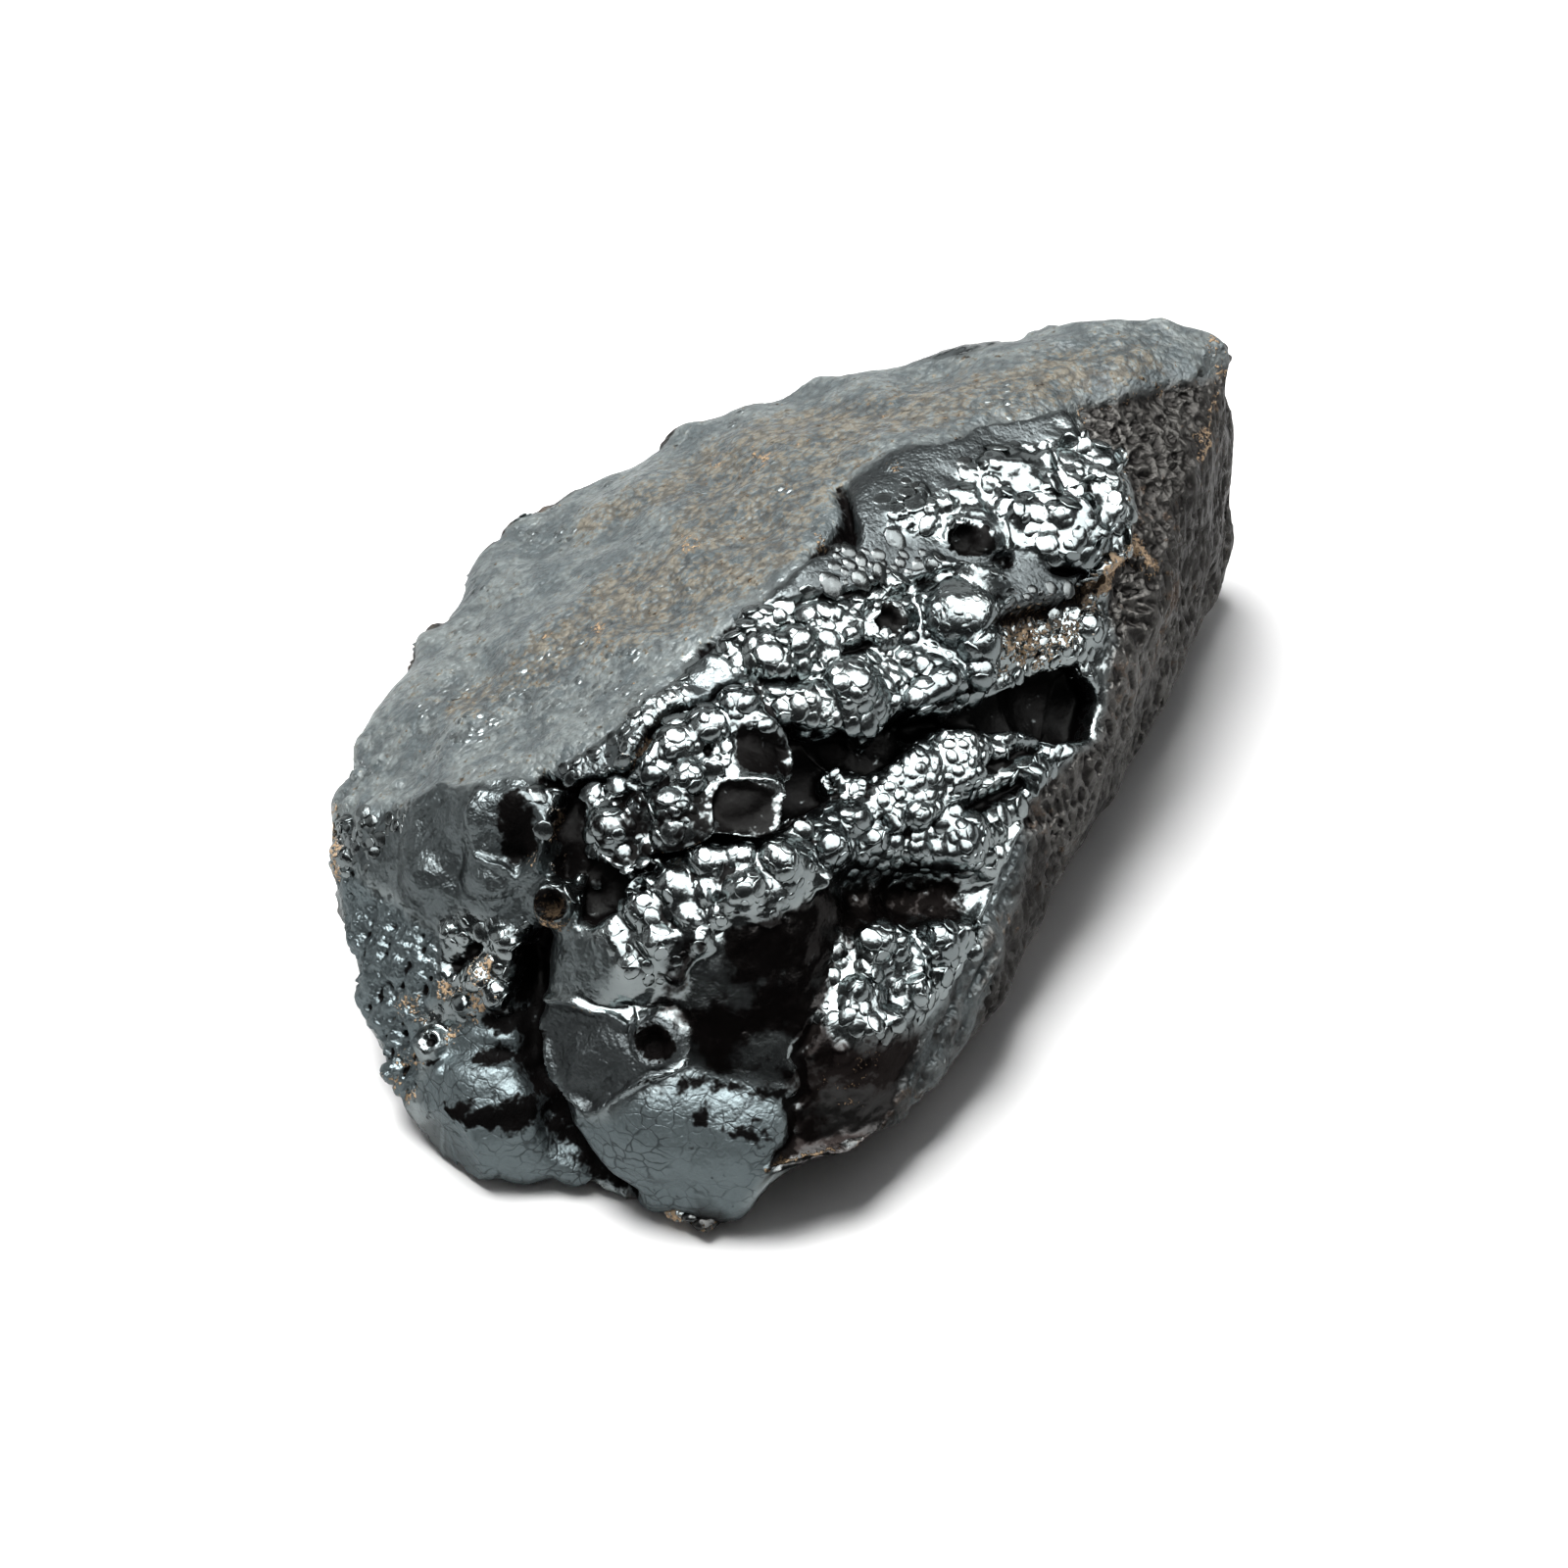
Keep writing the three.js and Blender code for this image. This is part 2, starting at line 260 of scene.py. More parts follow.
# the kinds of surface, as outlines in pixels
regions = {
    "topFace": [(322, 800), (345, 770), (395, 690), (450, 590), (560, 500), (700, 420), (850, 370),
        (985, 365), (1140, 310), (1275, 325), (1262, 380), (1180, 400), (1110, 412), (1010, 440), (905, 462),
        (864, 490), (858, 530), (830, 565), (800, 592), (745, 638), (704, 668), (690, 694), (655, 720),
        (628, 742), (590, 772), (560, 795), (530, 800), (440, 804), (400, 826), (370, 832), (330, 822)],
    "brokenSide": [(1100, 412), (1180, 398), (1262, 376), (1300, 400), (1300, 650), (1130, 900), (1010, 1070),
        (1000, 1140), (900, 1210), (884, 1184), (922, 1100), (964, 1010), (976, 988), (995, 967), (1001, 942),
        (1017, 915), (1030, 885), (1040, 848), (1046, 823), (1062, 798), (1084, 780), (1112, 762),
        (1125, 740), (1140, 640), (1126, 590), (1130, 520), (1120, 480), (1098, 452)],
    "nearStrip": [(325, 890), (352, 886), (380, 905), (445, 955), (452, 1010), (430, 1040), (430, 1080),
        (440, 1110), (400, 1140), (360, 1060), (330, 960)],
    "drape": [(375, 800), (440, 806), (555, 802), (572, 830), (562, 895), (600, 950), (645, 975), (610, 1015),
        (552, 1012), (543, 960), (470, 925), (440, 955), (400, 915), (352, 880), (365, 830)],
    "shell": [(552, 1020), (587, 1020), (612, 1036), (640, 1050), (665, 1036), (690, 1052), (696, 1068),
        (680, 1086), (650, 1104), (625, 1124), (607, 1130), (588, 1112), (570, 1082), (558, 1056)],
    "brownAndPaintedShade": [(690, 960), (750, 925), (850, 895), (985, 897), (985, 940), (900, 942), (855, 975), (835, 1040),
        (870, 1070), (945, 1045), (935, 1110), (890, 1180), (790, 1184), (810, 1110), (720, 1095),
        (670, 1020)],
    "scaly": [(430, 1100), (470, 1035), (540, 1015), (545, 1070), (562, 1115), (600, 1140), (640, 1125),
        (700, 1092), (800, 1108), (792, 1190), (740, 1250), (600, 1230), (470, 1190)],
    "fibres": [(1036, 846), (1062, 850), (1026, 960), (992, 1060), (938, 1172), (886, 1184), (940, 1060),
        (985, 960)],
    "smoothCrust": [(860, 500), (905, 466), (1000, 440), (1065, 430), (1075, 455), (1000, 470), (968, 500),
        (900, 505), (900, 552), (960, 560), (1030, 570), (1060, 592), (1100, 592), (1060, 640), (1010, 640),
        (960, 585), (850, 605), (780, 618), (832, 568), (850, 560)],
    "upperPlate": [(556, 797), (590, 776), (628, 748), (655, 722), (700, 690), (722, 668), (760, 690),
        (718, 718), (683, 731), (650, 772), (607, 795)],
    "brownBand": [(430, 720), (500, 690), (580, 625), (610, 590), (680, 560), (690, 520), (600, 545),
        (560, 548), (660, 490), (720, 450), (800, 425), (900, 395), (1000, 380), (1120, 350), (1180, 345),
        (1190, 385), (1000, 430), (890, 455), (862, 490), (845, 540), (800, 582), (740, 622), (690, 650),
        (640, 665), (590, 680), (540, 710), (480, 740)],
}
satinParts = [
    (regions["nearStrip"], 8, 1), (regions["shell"], 3, 1), (regions["drape"], 10, 0.7),
    (regions["smoothCrust"], 8, 0.85), (regions["upperPlate"], 4, 0.5),
]
topFace = insideShare(regions["topFace"], 5)
brokenSide = insideShare(regions["brokenSide"], 6)
satin = strongest(satinParts)
brown = insideShare(regions["brownBand"], 16)
scaly = insideShare(regions["scaly"], 14)
# the sides that face away, told apart by their normals; the top by its normals evened out over many rounds
hiddenSides = {"top": (0.35, 0.6), "evenRounds": 250, "under": (-0.75, -0.9), "far": (1, 0.9, -0.6),
               "back": (0.67, -0.74, -0.3), "soft": (-0.15, 0.15)}
away = 1 - seen
upward = normals[:, 2]
hiddenTop = away * smoothStep(*hiddenSides["top"], spread(upward, hiddenSides["evenRounds"]))
topFace = np.maximum(topFace, hiddenTop)
underSide = smoothStep(*hiddenSides["under"], upward)
farOrBack = np.maximum(normals @ hiddenSides["far"], normals @ hiddenSides["back"])
farOrBack = smoothStep(*hiddenSides["soft"], farOrBack) * away
brokenSide = np.maximum(brokenSide, np.maximum(farOrBack, underSide) * (1 - topFace))
crust = np.clip(1 - topFace - brokenSide, 0, 1)
print("stage: kinds of surface")

# ledges: flat parts of the crust that stand above or below the rest: height in millimetres, softness of
# the edge in pixels and outline; a lean is millimetres for each pixel, the way it rises and where it starts
ledges = {
    "bulge": (1, 55, [(578, 1000), (590, 950), (640, 900), (700, 862), (800, 842), (850, 862), (868, 920),
        (856, 1000), (840, 1060), (815, 1120), (790, 1290), (620, 1290), (560, 1180), (550, 1060)]),
    "slab": (0.2, 3.5, [(607, 799), (620, 793), (638, 789), (650, 776), (661, 756), (671, 746), (683, 733),
        (704, 729), (718, 721), (730, 711), (741, 706), (765, 700), (777, 718), (792, 746), (791, 768),
        (789, 789), (777, 800), (774, 824), (769, 844), (749, 852), (730, 853), (700, 858), (683, 871),
        (669, 880), (648, 885), (613, 871), (601, 858), (596, 830)]),
    "upperPlate": (0.5, 4, [(556, 797), (590, 776), (628, 748), (655, 722), (700, 690), (722, 668),
        (760, 690), (741, 704), (718, 718), (683, 731), (661, 752), (650, 772), (638, 785), (607, 795),
        (570, 812)]),
    "beadBank": (0, 7, [(732, 655), (762, 630), (850, 612), (900, 600), (960, 580), (1010, 640), (1000, 690),
        (925, 725), (880, 742), (820, 740), (790, 735), (778, 700), (745, 682)]),
    "darkHollow": (-1.7, 7, [(782, 800), (794, 790), (797, 745), (804, 738), (820, 744), (850, 750),
        (880, 747), (922, 728), (928, 745), (930, 760), (912, 770), (900, 785), (895, 812), (850, 816),
        (835, 822), (800, 836), (778, 846)]),
    "cavity": (-2.6, 7, [(925, 738), (960, 732), (1000, 720), (1050, 700), (1106, 684), (1120, 716),
        (1112, 744), (1075, 756), (1040, 744), (1000, 740), (960, 744), (935, 752)]),
    "nearGap": (-1.5, 6, [(573, 812), (598, 804), (600, 858), (615, 876), (662, 890), (668, 884), (645, 915),
        (612, 945), (592, 940), (598, 905), (565, 893), (562, 850)]),
    "beadMound": (0.3, 7, [(902, 785), (915, 762), (955, 744), (1000, 746), (1002, 790), (965, 828),
        (930, 842), (898, 832), (893, 800)]),
    "terraceEdge": (0.2, 20, [(835, 822), (900, 825), (960, 826), (995, 845), (1008, 870), (1003, 895),
        (960, 884), (930, 878), (880, 888), (840, 880), (800, 848)]),
    "smoothValley": (-0.5, 38, [(842, 890), (900, 892), (985, 892), (1002, 905), (985, 940), (930, 944),
        (885, 950), (862, 985), (840, 1030), (815, 1040), (825, 980), (840, 930)]),
    "lowerLobe": (0.6, 14, [(866, 985), (880, 956), (905, 945), (950, 944), (985, 945), (992, 962),
        (965, 1000), (950, 1020), (925, 1050), (900, 1066), (872, 1062), (850, 1040)]),
    "crustPlate": (0.35, 3, [(860, 500), (872, 480), (905, 466), (960, 455), (1010, 440), (1080, 425),
        (1125, 470), (1132, 520), (1120, 590), (1060, 620), (1010, 640), (960, 590), (900, 600), (850, 605),
        (800, 615), (780, 618), (832, 568), (850, 560), (872, 556), (868, 528)]),
}
leans = {
    "slab": (0.013, (0.45, 0.89), (690, 735)),
    "beadBank": (0.013, (0.5, 0.87), (830, 615)),
    "beadMound": (0.012, (0.4, 0.92), (950, 745)),
    "terraceEdge": (0.005, (0.3, 0.95), (915, 822)),
    "crustPlate": (0.009, (0.75, 0.66), (900, 470)),
}

# painted shade: dark stretches that hardly shine, on steps, pockets and hollows that lie in shade or mirror
# the dark room: outline and strength
paintedShadePatches = [
    ([(492, 1034), (520, 1028), (545, 1036), (540, 1049), (512, 1052), (492, 1047)], 1),
    ([(490, 1070), (515, 1064), (540, 1072), (536, 1084), (510, 1088), (492, 1082)], 1),
    ([(468, 1120), (490, 1114), (506, 1124), (500, 1136), (474, 1134)], 0.95),
    ([(504, 1122), (540, 1116), (546, 1130), (528, 1148), (500, 1144)], 0.95),
    ([(745, 750), (775, 742), (787, 756), (785, 786), (766, 792), (744, 784)], 1),
    ([(718, 812), (745, 800), (768, 806), (768, 838), (745, 848), (718, 836)], 1),
    ([(640, 812), (690, 800), (708, 812), (700, 850), (665, 862), (645, 850)], 0.5),
    ([(612, 845), (690, 812), (720, 800), (770, 800), (770, 845), (700, 856), (668, 882), (620, 872)], 0.55),
    ([(512, 824), (530, 812), (545, 832), (545, 866), (530, 884), (516, 868), (510, 845)], 1),
    ([(640, 1092), (700, 1100), (760, 1104), (800, 1108), (800, 1122), (740, 1116), (690, 1112)], 0.8),
    ([(850, 900), (985, 898), (990, 925), (940, 938), (880, 942), (850, 960)], 0.75),
    ([(700, 1128), (716, 1122), (734, 1132), (728, 1142), (708, 1142)], 0.8),
    ([(740, 1138), (775, 1140), (786, 1160), (770, 1172), (744, 1152)], 0.6),
]

# cracks and grooves: line, width in pixels, depth in millimetres
cracks = [
    ([(556, 797), (590, 806), (607, 799), (620, 793), (638, 789), (650, 776), (661, 756), (671, 746),
     (683, 733), (704, 729), (718, 721), (730, 711), (748, 702)], 4, 1.3),
    ([(669, 881), (683, 873), (700, 861), (718, 855), (738, 859), (757, 856), (775, 850), (802, 842),
     (828, 832)], 4.5, 1.5),
    ([(548, 960), (544, 1010), (541, 1050), (546, 1085), (558, 1120), (576, 1158), (604, 1190), (640, 1214)],
     13, 2.2),
    ([(714, 662), (732, 649), (750, 636)], 4, 0.8),
    ([(857, 500), (866, 528), (872, 556)], 6, 1.3),
    ([(828, 566), (850, 552), (866, 534)], 6, 1.1),
    ([(853, 668), (868, 664), (880, 658)], 6, 0.9),
    ([(777, 694), (795, 696), (815, 690)], 5, 0.7),
    ([(534, 978), (536, 1000), (530, 1024)], 10, 1.8),
    ([(462, 985), (480, 972)], 8, 1),
    ([(830, 1045), (812, 1078), (822, 1105), (800, 1130), (806, 1158), (790, 1186)], 7, 0.5),
    ([(1040, 798), (1015, 812), (990, 826)], 7, 0.9),
    ([(1060, 765), (1030, 775), (1005, 790)], 7, 0.9),
    ([(1110, 583), (1080, 592), (1060, 586)], 8, 1.2),
]

# thin raised rims of broken plates and bubbles: line, width in pixels, height in millimetres
rims = [
    ([(777, 731), (792, 746), (791, 768), (789, 789), (777, 797), (757, 798)], 3.5, 0.35),
    ([(771, 803), (774, 824), (769, 844), (749, 852), (730, 852), (720, 844)], 3.5, 0.35),
    ([(601, 858), (613, 871), (632, 875), (648, 885), (665, 888), (667, 877)], 3.5, 0.35),
    ([(552, 1018), (587, 1020), (612, 1036), (640, 1050)], 4.5, 0.55),
    ([(552, 1024), (556, 1056), (568, 1082), (586, 1112), (607, 1130), (650, 1106), (690, 1082)], 4.5, 0.55),
    ([(1036, 846), (1028, 870), (1013, 891), (1009, 911), (997, 932), (983, 946)], 6, 0.5),
    ([(964, 827), (995, 848), (1005, 874), (1003, 895)], 4, 0.35),
    ([(655, 718), (662, 705), (670, 694), (682, 691)], 3.5, 0.25),
    ([(1125, 600), (1122, 585), (1134, 570), (1150, 560), (1160, 565), (1172, 580)], 8, 0.7),
    ([(785, 1189), (818, 1178), (878, 1180)], 5, 0.4),
    ([(498, 812), (495, 850), (506, 885), (530, 902), (552, 885), (558, 845)], 5, 0.5),
    ([(448, 806), (500, 801), (545, 802)], 5, 0.3),
]

# lumps of the crust: pixel and radius in pixels
lumps = {
    "bank": [(783, 672, 24), (814, 657, 20), (863, 707, 25), (818, 719, 15), (992, 662, 22), (763, 629, 9),
        (792, 630, 9), (765, 641, 9), (742, 664, 9), (754, 654, 9), (826, 690, 12), (797, 715, 9),
        (863, 653, 11), (888, 657, 11), (843, 674, 11), (740, 652, 10), (820, 632, 10), (850, 630, 9),
        (875, 618, 9), (905, 598, 12), (925, 600, 9), (890, 588, 8), (945, 585, 12), (960, 600, 10),
        (840, 745, 9), (820, 745, 10), (880, 738, 10), (905, 700, 10), (915, 675, 12), (935, 690, 11)],
    "farCluster": [(918, 514, 13), (910, 528, 10), (945, 520, 9), (940, 527, 9), (961, 524, 9),
        (984, 512, 10), (1010, 481, 13), (1029, 487, 12), (1005, 500, 10), (1016, 512, 11), (1031, 534, 13),
        (1061, 489, 13), (1057, 512, 11), (1080, 512, 13), (1092, 479, 13), (1105, 501, 12), (1117, 512, 11),
        (1113, 528, 12), (1088, 532, 15), (1064, 540, 15), (1049, 559, 12), (1070, 558, 13), (1096, 556, 12),
        (1107, 575, 15), (1040, 500, 10)],
    "rustyKnot": [(1047, 655, 15), (1113, 637, 17), (1105, 606, 14), (1085, 655, 13), (1065, 640, 10),
        (1030, 670, 12)],
    "ledge": [(935, 714, 14), (952, 708, 14), (968, 702, 12), (980, 708, 10), (992, 690, 16), (1005, 700, 9)],
    "slab": [(655, 775, 22), (690, 765, 20), (720, 750, 20), (748, 722, 18), (700, 795, 18), (722, 782, 16),
        (640, 800, 15), (629, 845, 18), (655, 830, 16), (690, 825, 18), (640, 862, 12), (659, 860, 12),
        (675, 790, 14)],
    "bubblePair": [(847, 792, 18), (880, 807, 22), (900, 790, 9)],
    "terrace": [(911, 835, 15), (962, 839, 17), (979, 860, 24), (868, 835, 16), (893, 855, 17),
        (842, 866, 17), (1017, 831, 13), (1030, 794, 12), (1024, 774, 10), (1052, 792, 13), (1048, 772, 12),
        (815, 850, 14), (935, 862, 14), (930, 835, 11), (1015, 870, 9), (1018, 850, 9)],
    "bulgeTop": [(725, 880, 20), (750, 878, 16), (790, 884, 20), (691, 906, 18), (757, 908, 20),
        (720, 905, 16), (663, 932, 18), (675, 957, 18), (712, 960, 17), (735, 930, 16), (646, 990, 13),
        (820, 893, 14), (700, 935, 16), (775, 930, 12), (690, 985, 12)],
    "lowerLobes": [(893, 965, 20), (915, 958, 14), (954, 963, 20), (975, 955, 12), (985, 965, 11),
        (931, 985, 14), (931, 1008, 16), (956, 995, 13), (880, 990, 14), (868, 1018, 14), (905, 1040, 15),
        (885, 1052, 12), (940, 1020, 14), (920, 1055, 10), (858, 1070, 10)],
    "nearBubbles": [(629, 807, 11), (652, 807, 11), (610, 820, 9), (662, 908, 12), (568, 924, 22),
        (600, 872, 9), (612, 905, 9), (590, 900, 8), (640, 895, 8)],
    "nearEnd": [(462, 950, 12), (510, 958, 13), (528, 966, 9), (488, 998, 14), (505, 1016, 13),
        (440, 1065, 19), (398, 1098, 12), (372, 815, 10), (354, 844, 10), (352, 872, 10), (366, 789, 10),
        (385, 775, 11), (380, 872, 9), (405, 800, 11), (430, 790, 9), (355, 820, 9), (475, 975, 9),
        (470, 1025, 9), (415, 1035, 9), (455, 1095, 10), (410, 1115, 9)],
    "farTop": [(1180, 344, 9), (1140, 350, 9), (1230, 360, 8), (912, 481, 10), (1018, 420, 10),
        (1000, 430, 8)],
}

# bubbles that are broken open: pixel, outer radius and the share of it that is hollow
openBubbles = [
    (902, 634, 18, 0.75), (980, 556, 20, 0.88), (720, 768, 10, 0.6), (662, 908, 13, 0.7), (922, 545, 9, 0.6),
    (1002, 580, 14, 0.8), (567, 922, 17, 0.75), (826, 690, 8, 0.5), (1047, 655, 11, 0.6), (847, 792, 11, 0.6),
    (670, 1064, 21, 0.86), (1232, 384, 13, 0.9), (440, 1062, 12, 0.7), (1060, 668, 10, 0.7),
    (1085, 650, 9, 0.7),
]


def makeTree(places, indices):
    tree = KDTree(len(indices))
    for index in indices:
        tree.insert(places[index], int(index))
    tree.balance()
    return tree


class Surface:
    # the body's surface while it is being shaped: how far each point is moved out, in millimetres

    def __init__(self):
        self.height = np.zeros(len(points))
        self.tree = makeTree(np.column_stack([pixels, 0 * depth]), np.flatnonzero(seen))

    def atPixel(self, across, down):
        return self.tree.find((across, down, 0))[1]

    def ball(self, index, radius, sink, ground):
        # how far out each point has to go to reach a ball that is sunk into the ground there
        centre = points[index] + normals[index] * (ground[index] - sink * radius)
        offset = points - centre
        close = (offset * offset).sum(axis=1) < (radius + 4) ** 2
        near = np.flatnonzero(close & (normals @ normals[index] > 0.45))
        along = (offset[near] * normals[near]).sum(axis=1)
        under = along * along - ((offset[near] ** 2).sum(axis=1) - radius * radius)
        hit = under > 0
        return near[hit], -along[hit], np.sqrt(under[hit])

    def raiseBall(self, index, radius, sink, ground):
        # the ball's waterline keeps the given radius, however deep the ball is sunk
        near, middle, half = self.ball(index, radius / math.sqrt(1 - sink * sink), sink, ground)
        top = middle + half + lumpGrain[near] * radius
        apart = np.abs(top - self.height[near])
        melt = np.maximum(meltWidth - apart, 0) ** 2 / (4 * meltWidth)
        self.height[near] = np.maximum(self.height[near], top) + melt * (half > 0.15 * radius)

    def sinkBall(self, index, radius, sink, ground):
        near, middle, half = self.ball(index, radius, sink, ground)
        self.height[near] = np.minimum(self.height[near], middle - half)

    def pixelSize(self, index):
        return depth[index] / pixelsPerSlope


# wide low swellings, and hollows where the height is below 0: pixel, radius in pixels, height in millimetres
swells = [
    (508, 850, 66, 1.1), (432, 890, 46, 0.3), (480, 1160, 95, 1.7), (690, 1180, 90, 0.5),
    (400, 1000, 60, 0.4), (480, 925, 40, 0.5), (615, 970, 55, 0.6), (1040, 560, 70, 0.5),
    (1090, 520, 60, 0.5), (680, 750, 60, 0.3), (790, 990, 130, 0.5), (968, 628, 46, 0.9), (592, 1062, 40, -1),
    (618, 1098, 30, -0.8), (524, 852, 34, -1.7), (517, 1040, 20, -0.5), (515, 1077, 18, -0.4),
    (505, 1131, 22, -0.4), (764, 768, 24, -0.9), (745, 826, 26, -0.9), (410, 1060, 16, -0.4),
    (360, 985, 14, -0.3), (395, 1010, 16, -0.3),
]

# rows of small steps: outline, the way across them, pixels from one to the next, height in millimetres
stepRows = [
    ([(465, 985), (540, 975), (545, 1060), (556, 1130), (470, 1150), (430, 1110), (450, 1040)], (0.1, 0.99),
     34, 0.18),
    ([(350, 905), (440, 960), (440, 1100), (395, 1130), (350, 1010)], (0.95, 0.3), 26, 0.12),
]

# where the crust is made of small domes
beadyOutlines = [
    [(600, 800), (660, 750), (745, 700), (790, 745), (775, 845), (700, 862), (650, 890), (600, 860)],
    [(735, 655), (765, 625), (850, 610), (1010, 585), (1030, 660), (1000, 700), (925, 728), (800, 738),
     (775, 695)],
    [(900, 490), (1000, 462), (1110, 450), (1130, 530), (1115, 590), (1060, 590), (1000, 560), (910, 560)],
    [(900, 780), (950, 745), (1060, 750), (1110, 770), (1040, 830), (1010, 895), (940, 880), (840, 885),
     (810, 850), (860, 825), (900, 830)],
    [(640, 905), (700, 868), (800, 850), (850, 880), (820, 915), (740, 930), (700, 975), (650, 1000),
     (620, 950)],
    [(868, 985), (880, 958), (905, 947), (985, 945), (992, 962), (950, 1020), (900, 1062), (860, 1040)],
]

# where the smooth crust is rippled
rippleOutlines = [
    regions["upperPlate"], [(935, 600), (1000, 590), (1015, 650), (960, 670), (930, 640)],
    [(640, 905), (680, 870), (800, 845), (850, 880), (800, 925), (700, 985), (640, 1000)],
    [(846, 985), (900, 944), (985, 945), (992, 962), (900, 1062), (836, 1045)],
]

# smooth unevenness: size of the hills, their height in millimetres and the seed of the noise
hills = {
    "whole": (6, 0.35, 21), "wholeFine": (2.5, 0.12, 22), "lump": (1.1, 0.1, 61), "lumpFine": (0.6, 0.06, 62),
    "flutes": (2.4, 0.45, 33), "top": (5, 0.18, 45), "topFine": (2.2, 0.1, 43), "crust": (1.8, 0.08, 53),
    "crustFine": (1, 0.07, 52), "ripple": (1.2, 0.13, 58), "rippleFine": (0.6, 0.09, 57),
    "stripFine": (0.55, 0.12, 89), "folds": (1.2, 0.14, 87), "fibres": (5.5, 0.45, 88),
}
# domes side by side: size of a dome, its height in millimetres and the seed of the cells
domes = {
    "topCoarse": (1.4, 0.16, 41), "topFine": (0.8, 0.12, 46), "crustCoarse": (2.4, 0.45, 75),
    "crustFine": (1.2, 0.12, 78), "strip": (1.3, 0.16, 81),
}


def hillsOf(name, places=points):
    size, height, seed = hills[name]
    return height * waveNoise(places, size, seed)


def domesOf(name, places, wide):
    # height of a dome for the whole row, and each point's share of it
    size, height, seed = domes[name]
    return height, np.maximum(1 - (cellNoise(places, size, seed)[0] / wide) ** 2, 0)


meltWidth = 0.16  # millimetres over which lumps run into each other
# how deep balls are sunk into the ground, as a share of their radius
sunk = {"lump": 0.55, "bubble": 0.6, "hollow": 0.1, "hiddenLump": 0.88, "hiddenKnob": 0.9}
lumpGrain = hillsOf("lump") + hillsOf("lumpFine")
surface = Surface()
for name, (height, soft, outline) in ledges.items():
    amount = np.full(len(points), float(height))
    if name in leans:
        slope, way, start = leans[name]
        amount += slope * np.maximum((pixels - start) @ np.array(way), 0)
    surface.height += amount * insideShare(outline, soft)
calm = np.maximum(np.maximum(scaly, 0.6 * insideShare(ledges["bulge"][2], 20)), 0.5 * satin)
surface.height += (hillsOf("whole") * (1 - topFace * 0.6) + hillsOf("wholeFine")) * (1 - calm)
for across, down, radius, height in swells:
    surface.height += height * swell(across, down, radius)
for outline, way, apart, height in stepRows:
    waves = np.sin(((pixels + wobble * 1.5) @ np.array(way)) * 2 * math.pi / apart)
    surface.height += height * waves * insideShare(outline, 9)
groundLevel = surface.height.copy()
for group in lumps.values():
    for across, down, radius in group:
        index = surface.atPixel(across, down)
        surface.raiseBall(index, radius * surface.pixelSize(index), sunk["lump"], groundLevel)
print("stage: ledges and lumps")
ground = surface.height.copy()
for across, down, radius, hollow in openBubbles:
    index = surface.atPixel(across, down)
    size = radius * surface.pixelSize(index)
    surface.raiseBall(index, size, sunk["bubble"], ground)
    surface.sinkBall(index, size * hollow, sunk["hollow"], ground)
for line, width, deep in cracks:
    surface.height -= deep * nearLine(line, width)
for line, width, height in rims:
    surface.height += height * nearLine(line, width)
print("stage: bubbles, cracks and rims")


def scatter(share, count, apart, seed):
    # points of the body picked at random where share is high, no two closer than apart
    picker = random.Random(seed)
    candidates = np.flatnonzero(share > 0.5)
    kept = []
    for _ in range(count * 4):
        index = int(candidates[picker.randrange(len(candidates))])
        if all(np.sum((points[index] - points[other]) ** 2) > apart * apart for other in kept):
            kept.append(index)
        if len(kept) == count:
            break
    return kept


# the hidden sides get lumps of their own: how many, millimetres apart, smallest and largest radius
hiddenLumps = {"count": 70, "apart": 1.6, "size": (0.8, 1.8)}
hiddenKnobs = {"count": 40, "apart": 3, "size": (1, 2)}
hiddenCrust = crust * away
ground = surface.height.copy()
picker = random.Random(5)
turned = (facing < -0.35) * (1 - underSide)
for index in scatter(hiddenCrust * turned, hiddenLumps["count"], hiddenLumps["apart"], 3):
    surface.raiseBall(index, picker.uniform(*hiddenLumps["size"]), sunk["hiddenLump"], ground)
for index in scatter(brokenSide * turned, hiddenKnobs["count"], hiddenKnobs["apart"], 4):
    surface.raiseBall(index, picker.uniform(*hiddenKnobs["size"]), sunk["hiddenKnob"], ground)
surface.height = ground + (surface.height - ground) * smoothStep(0.0, -0.3, facing)

# small hollows of the broken side, longer than wide and upright, with thin walls between them
pits = {"size": 1, "stretch": (1, 1, 0.42), "shallow": 0.22, "extra": 0.3}
stretched = (points + 0.8 * pushes(points, 2.2, 35)) * pits["stretch"]
first, second = cellNoise(stretched, pits["size"], 31)
fibrous = insideShare(regions["fibres"], 8)
deep = pits["shallow"] + pits["extra"] * smoothStep(-0.4, 0.5, waveNoise(points, 3.5, 34))
deep = (1 - 0.8 * fibrous) * smoothStep(0.05, 0.4, second - first) * deep
surface.height -= deep * brokenSide * (1 - underSide)
surface.height += hillsOf("flutes", points * (1, 1, 0.22)) * brokenSide * (1 - underSide)

# grains of the top face
bands = smoothStep(-0.35, 0.35, waveNoise(points * (0.35, 1, 1), 4.5, 42))
granular = np.maximum(0.3 * bands, brown) * (0.6 + 0.4 * waveNoise(points, 3, 44))
for name in ("topCoarse", "topFine"):
    height, dome = domesOf(name, points + 0.4 * waveNoise(points, 1.2, 47)[:, None], 0.7)
    surface.height += height * dome * (0.12 + 0.88 * granular) * topFace
surface.height += (hillsOf("topFine") + hillsOf("top")) * topFace

# small domes that the crust is made of, where it isn't smooth
beady = strongest([(outline, 10, 1) for outline in beadyOutlines])
beady = np.maximum(beady, hiddenCrust * smoothStep(0, 0.4, waveNoise(points, 9, 70)))
warped = points + 0.5 * pushes(points, 1.5, 71)
for name in ("crustCoarse", "crustFine"):
    height, dome = domesOf(name, warped, 0.8)
    surface.height += height * dome ** 0.75 * beady * crust * (1 - satin)

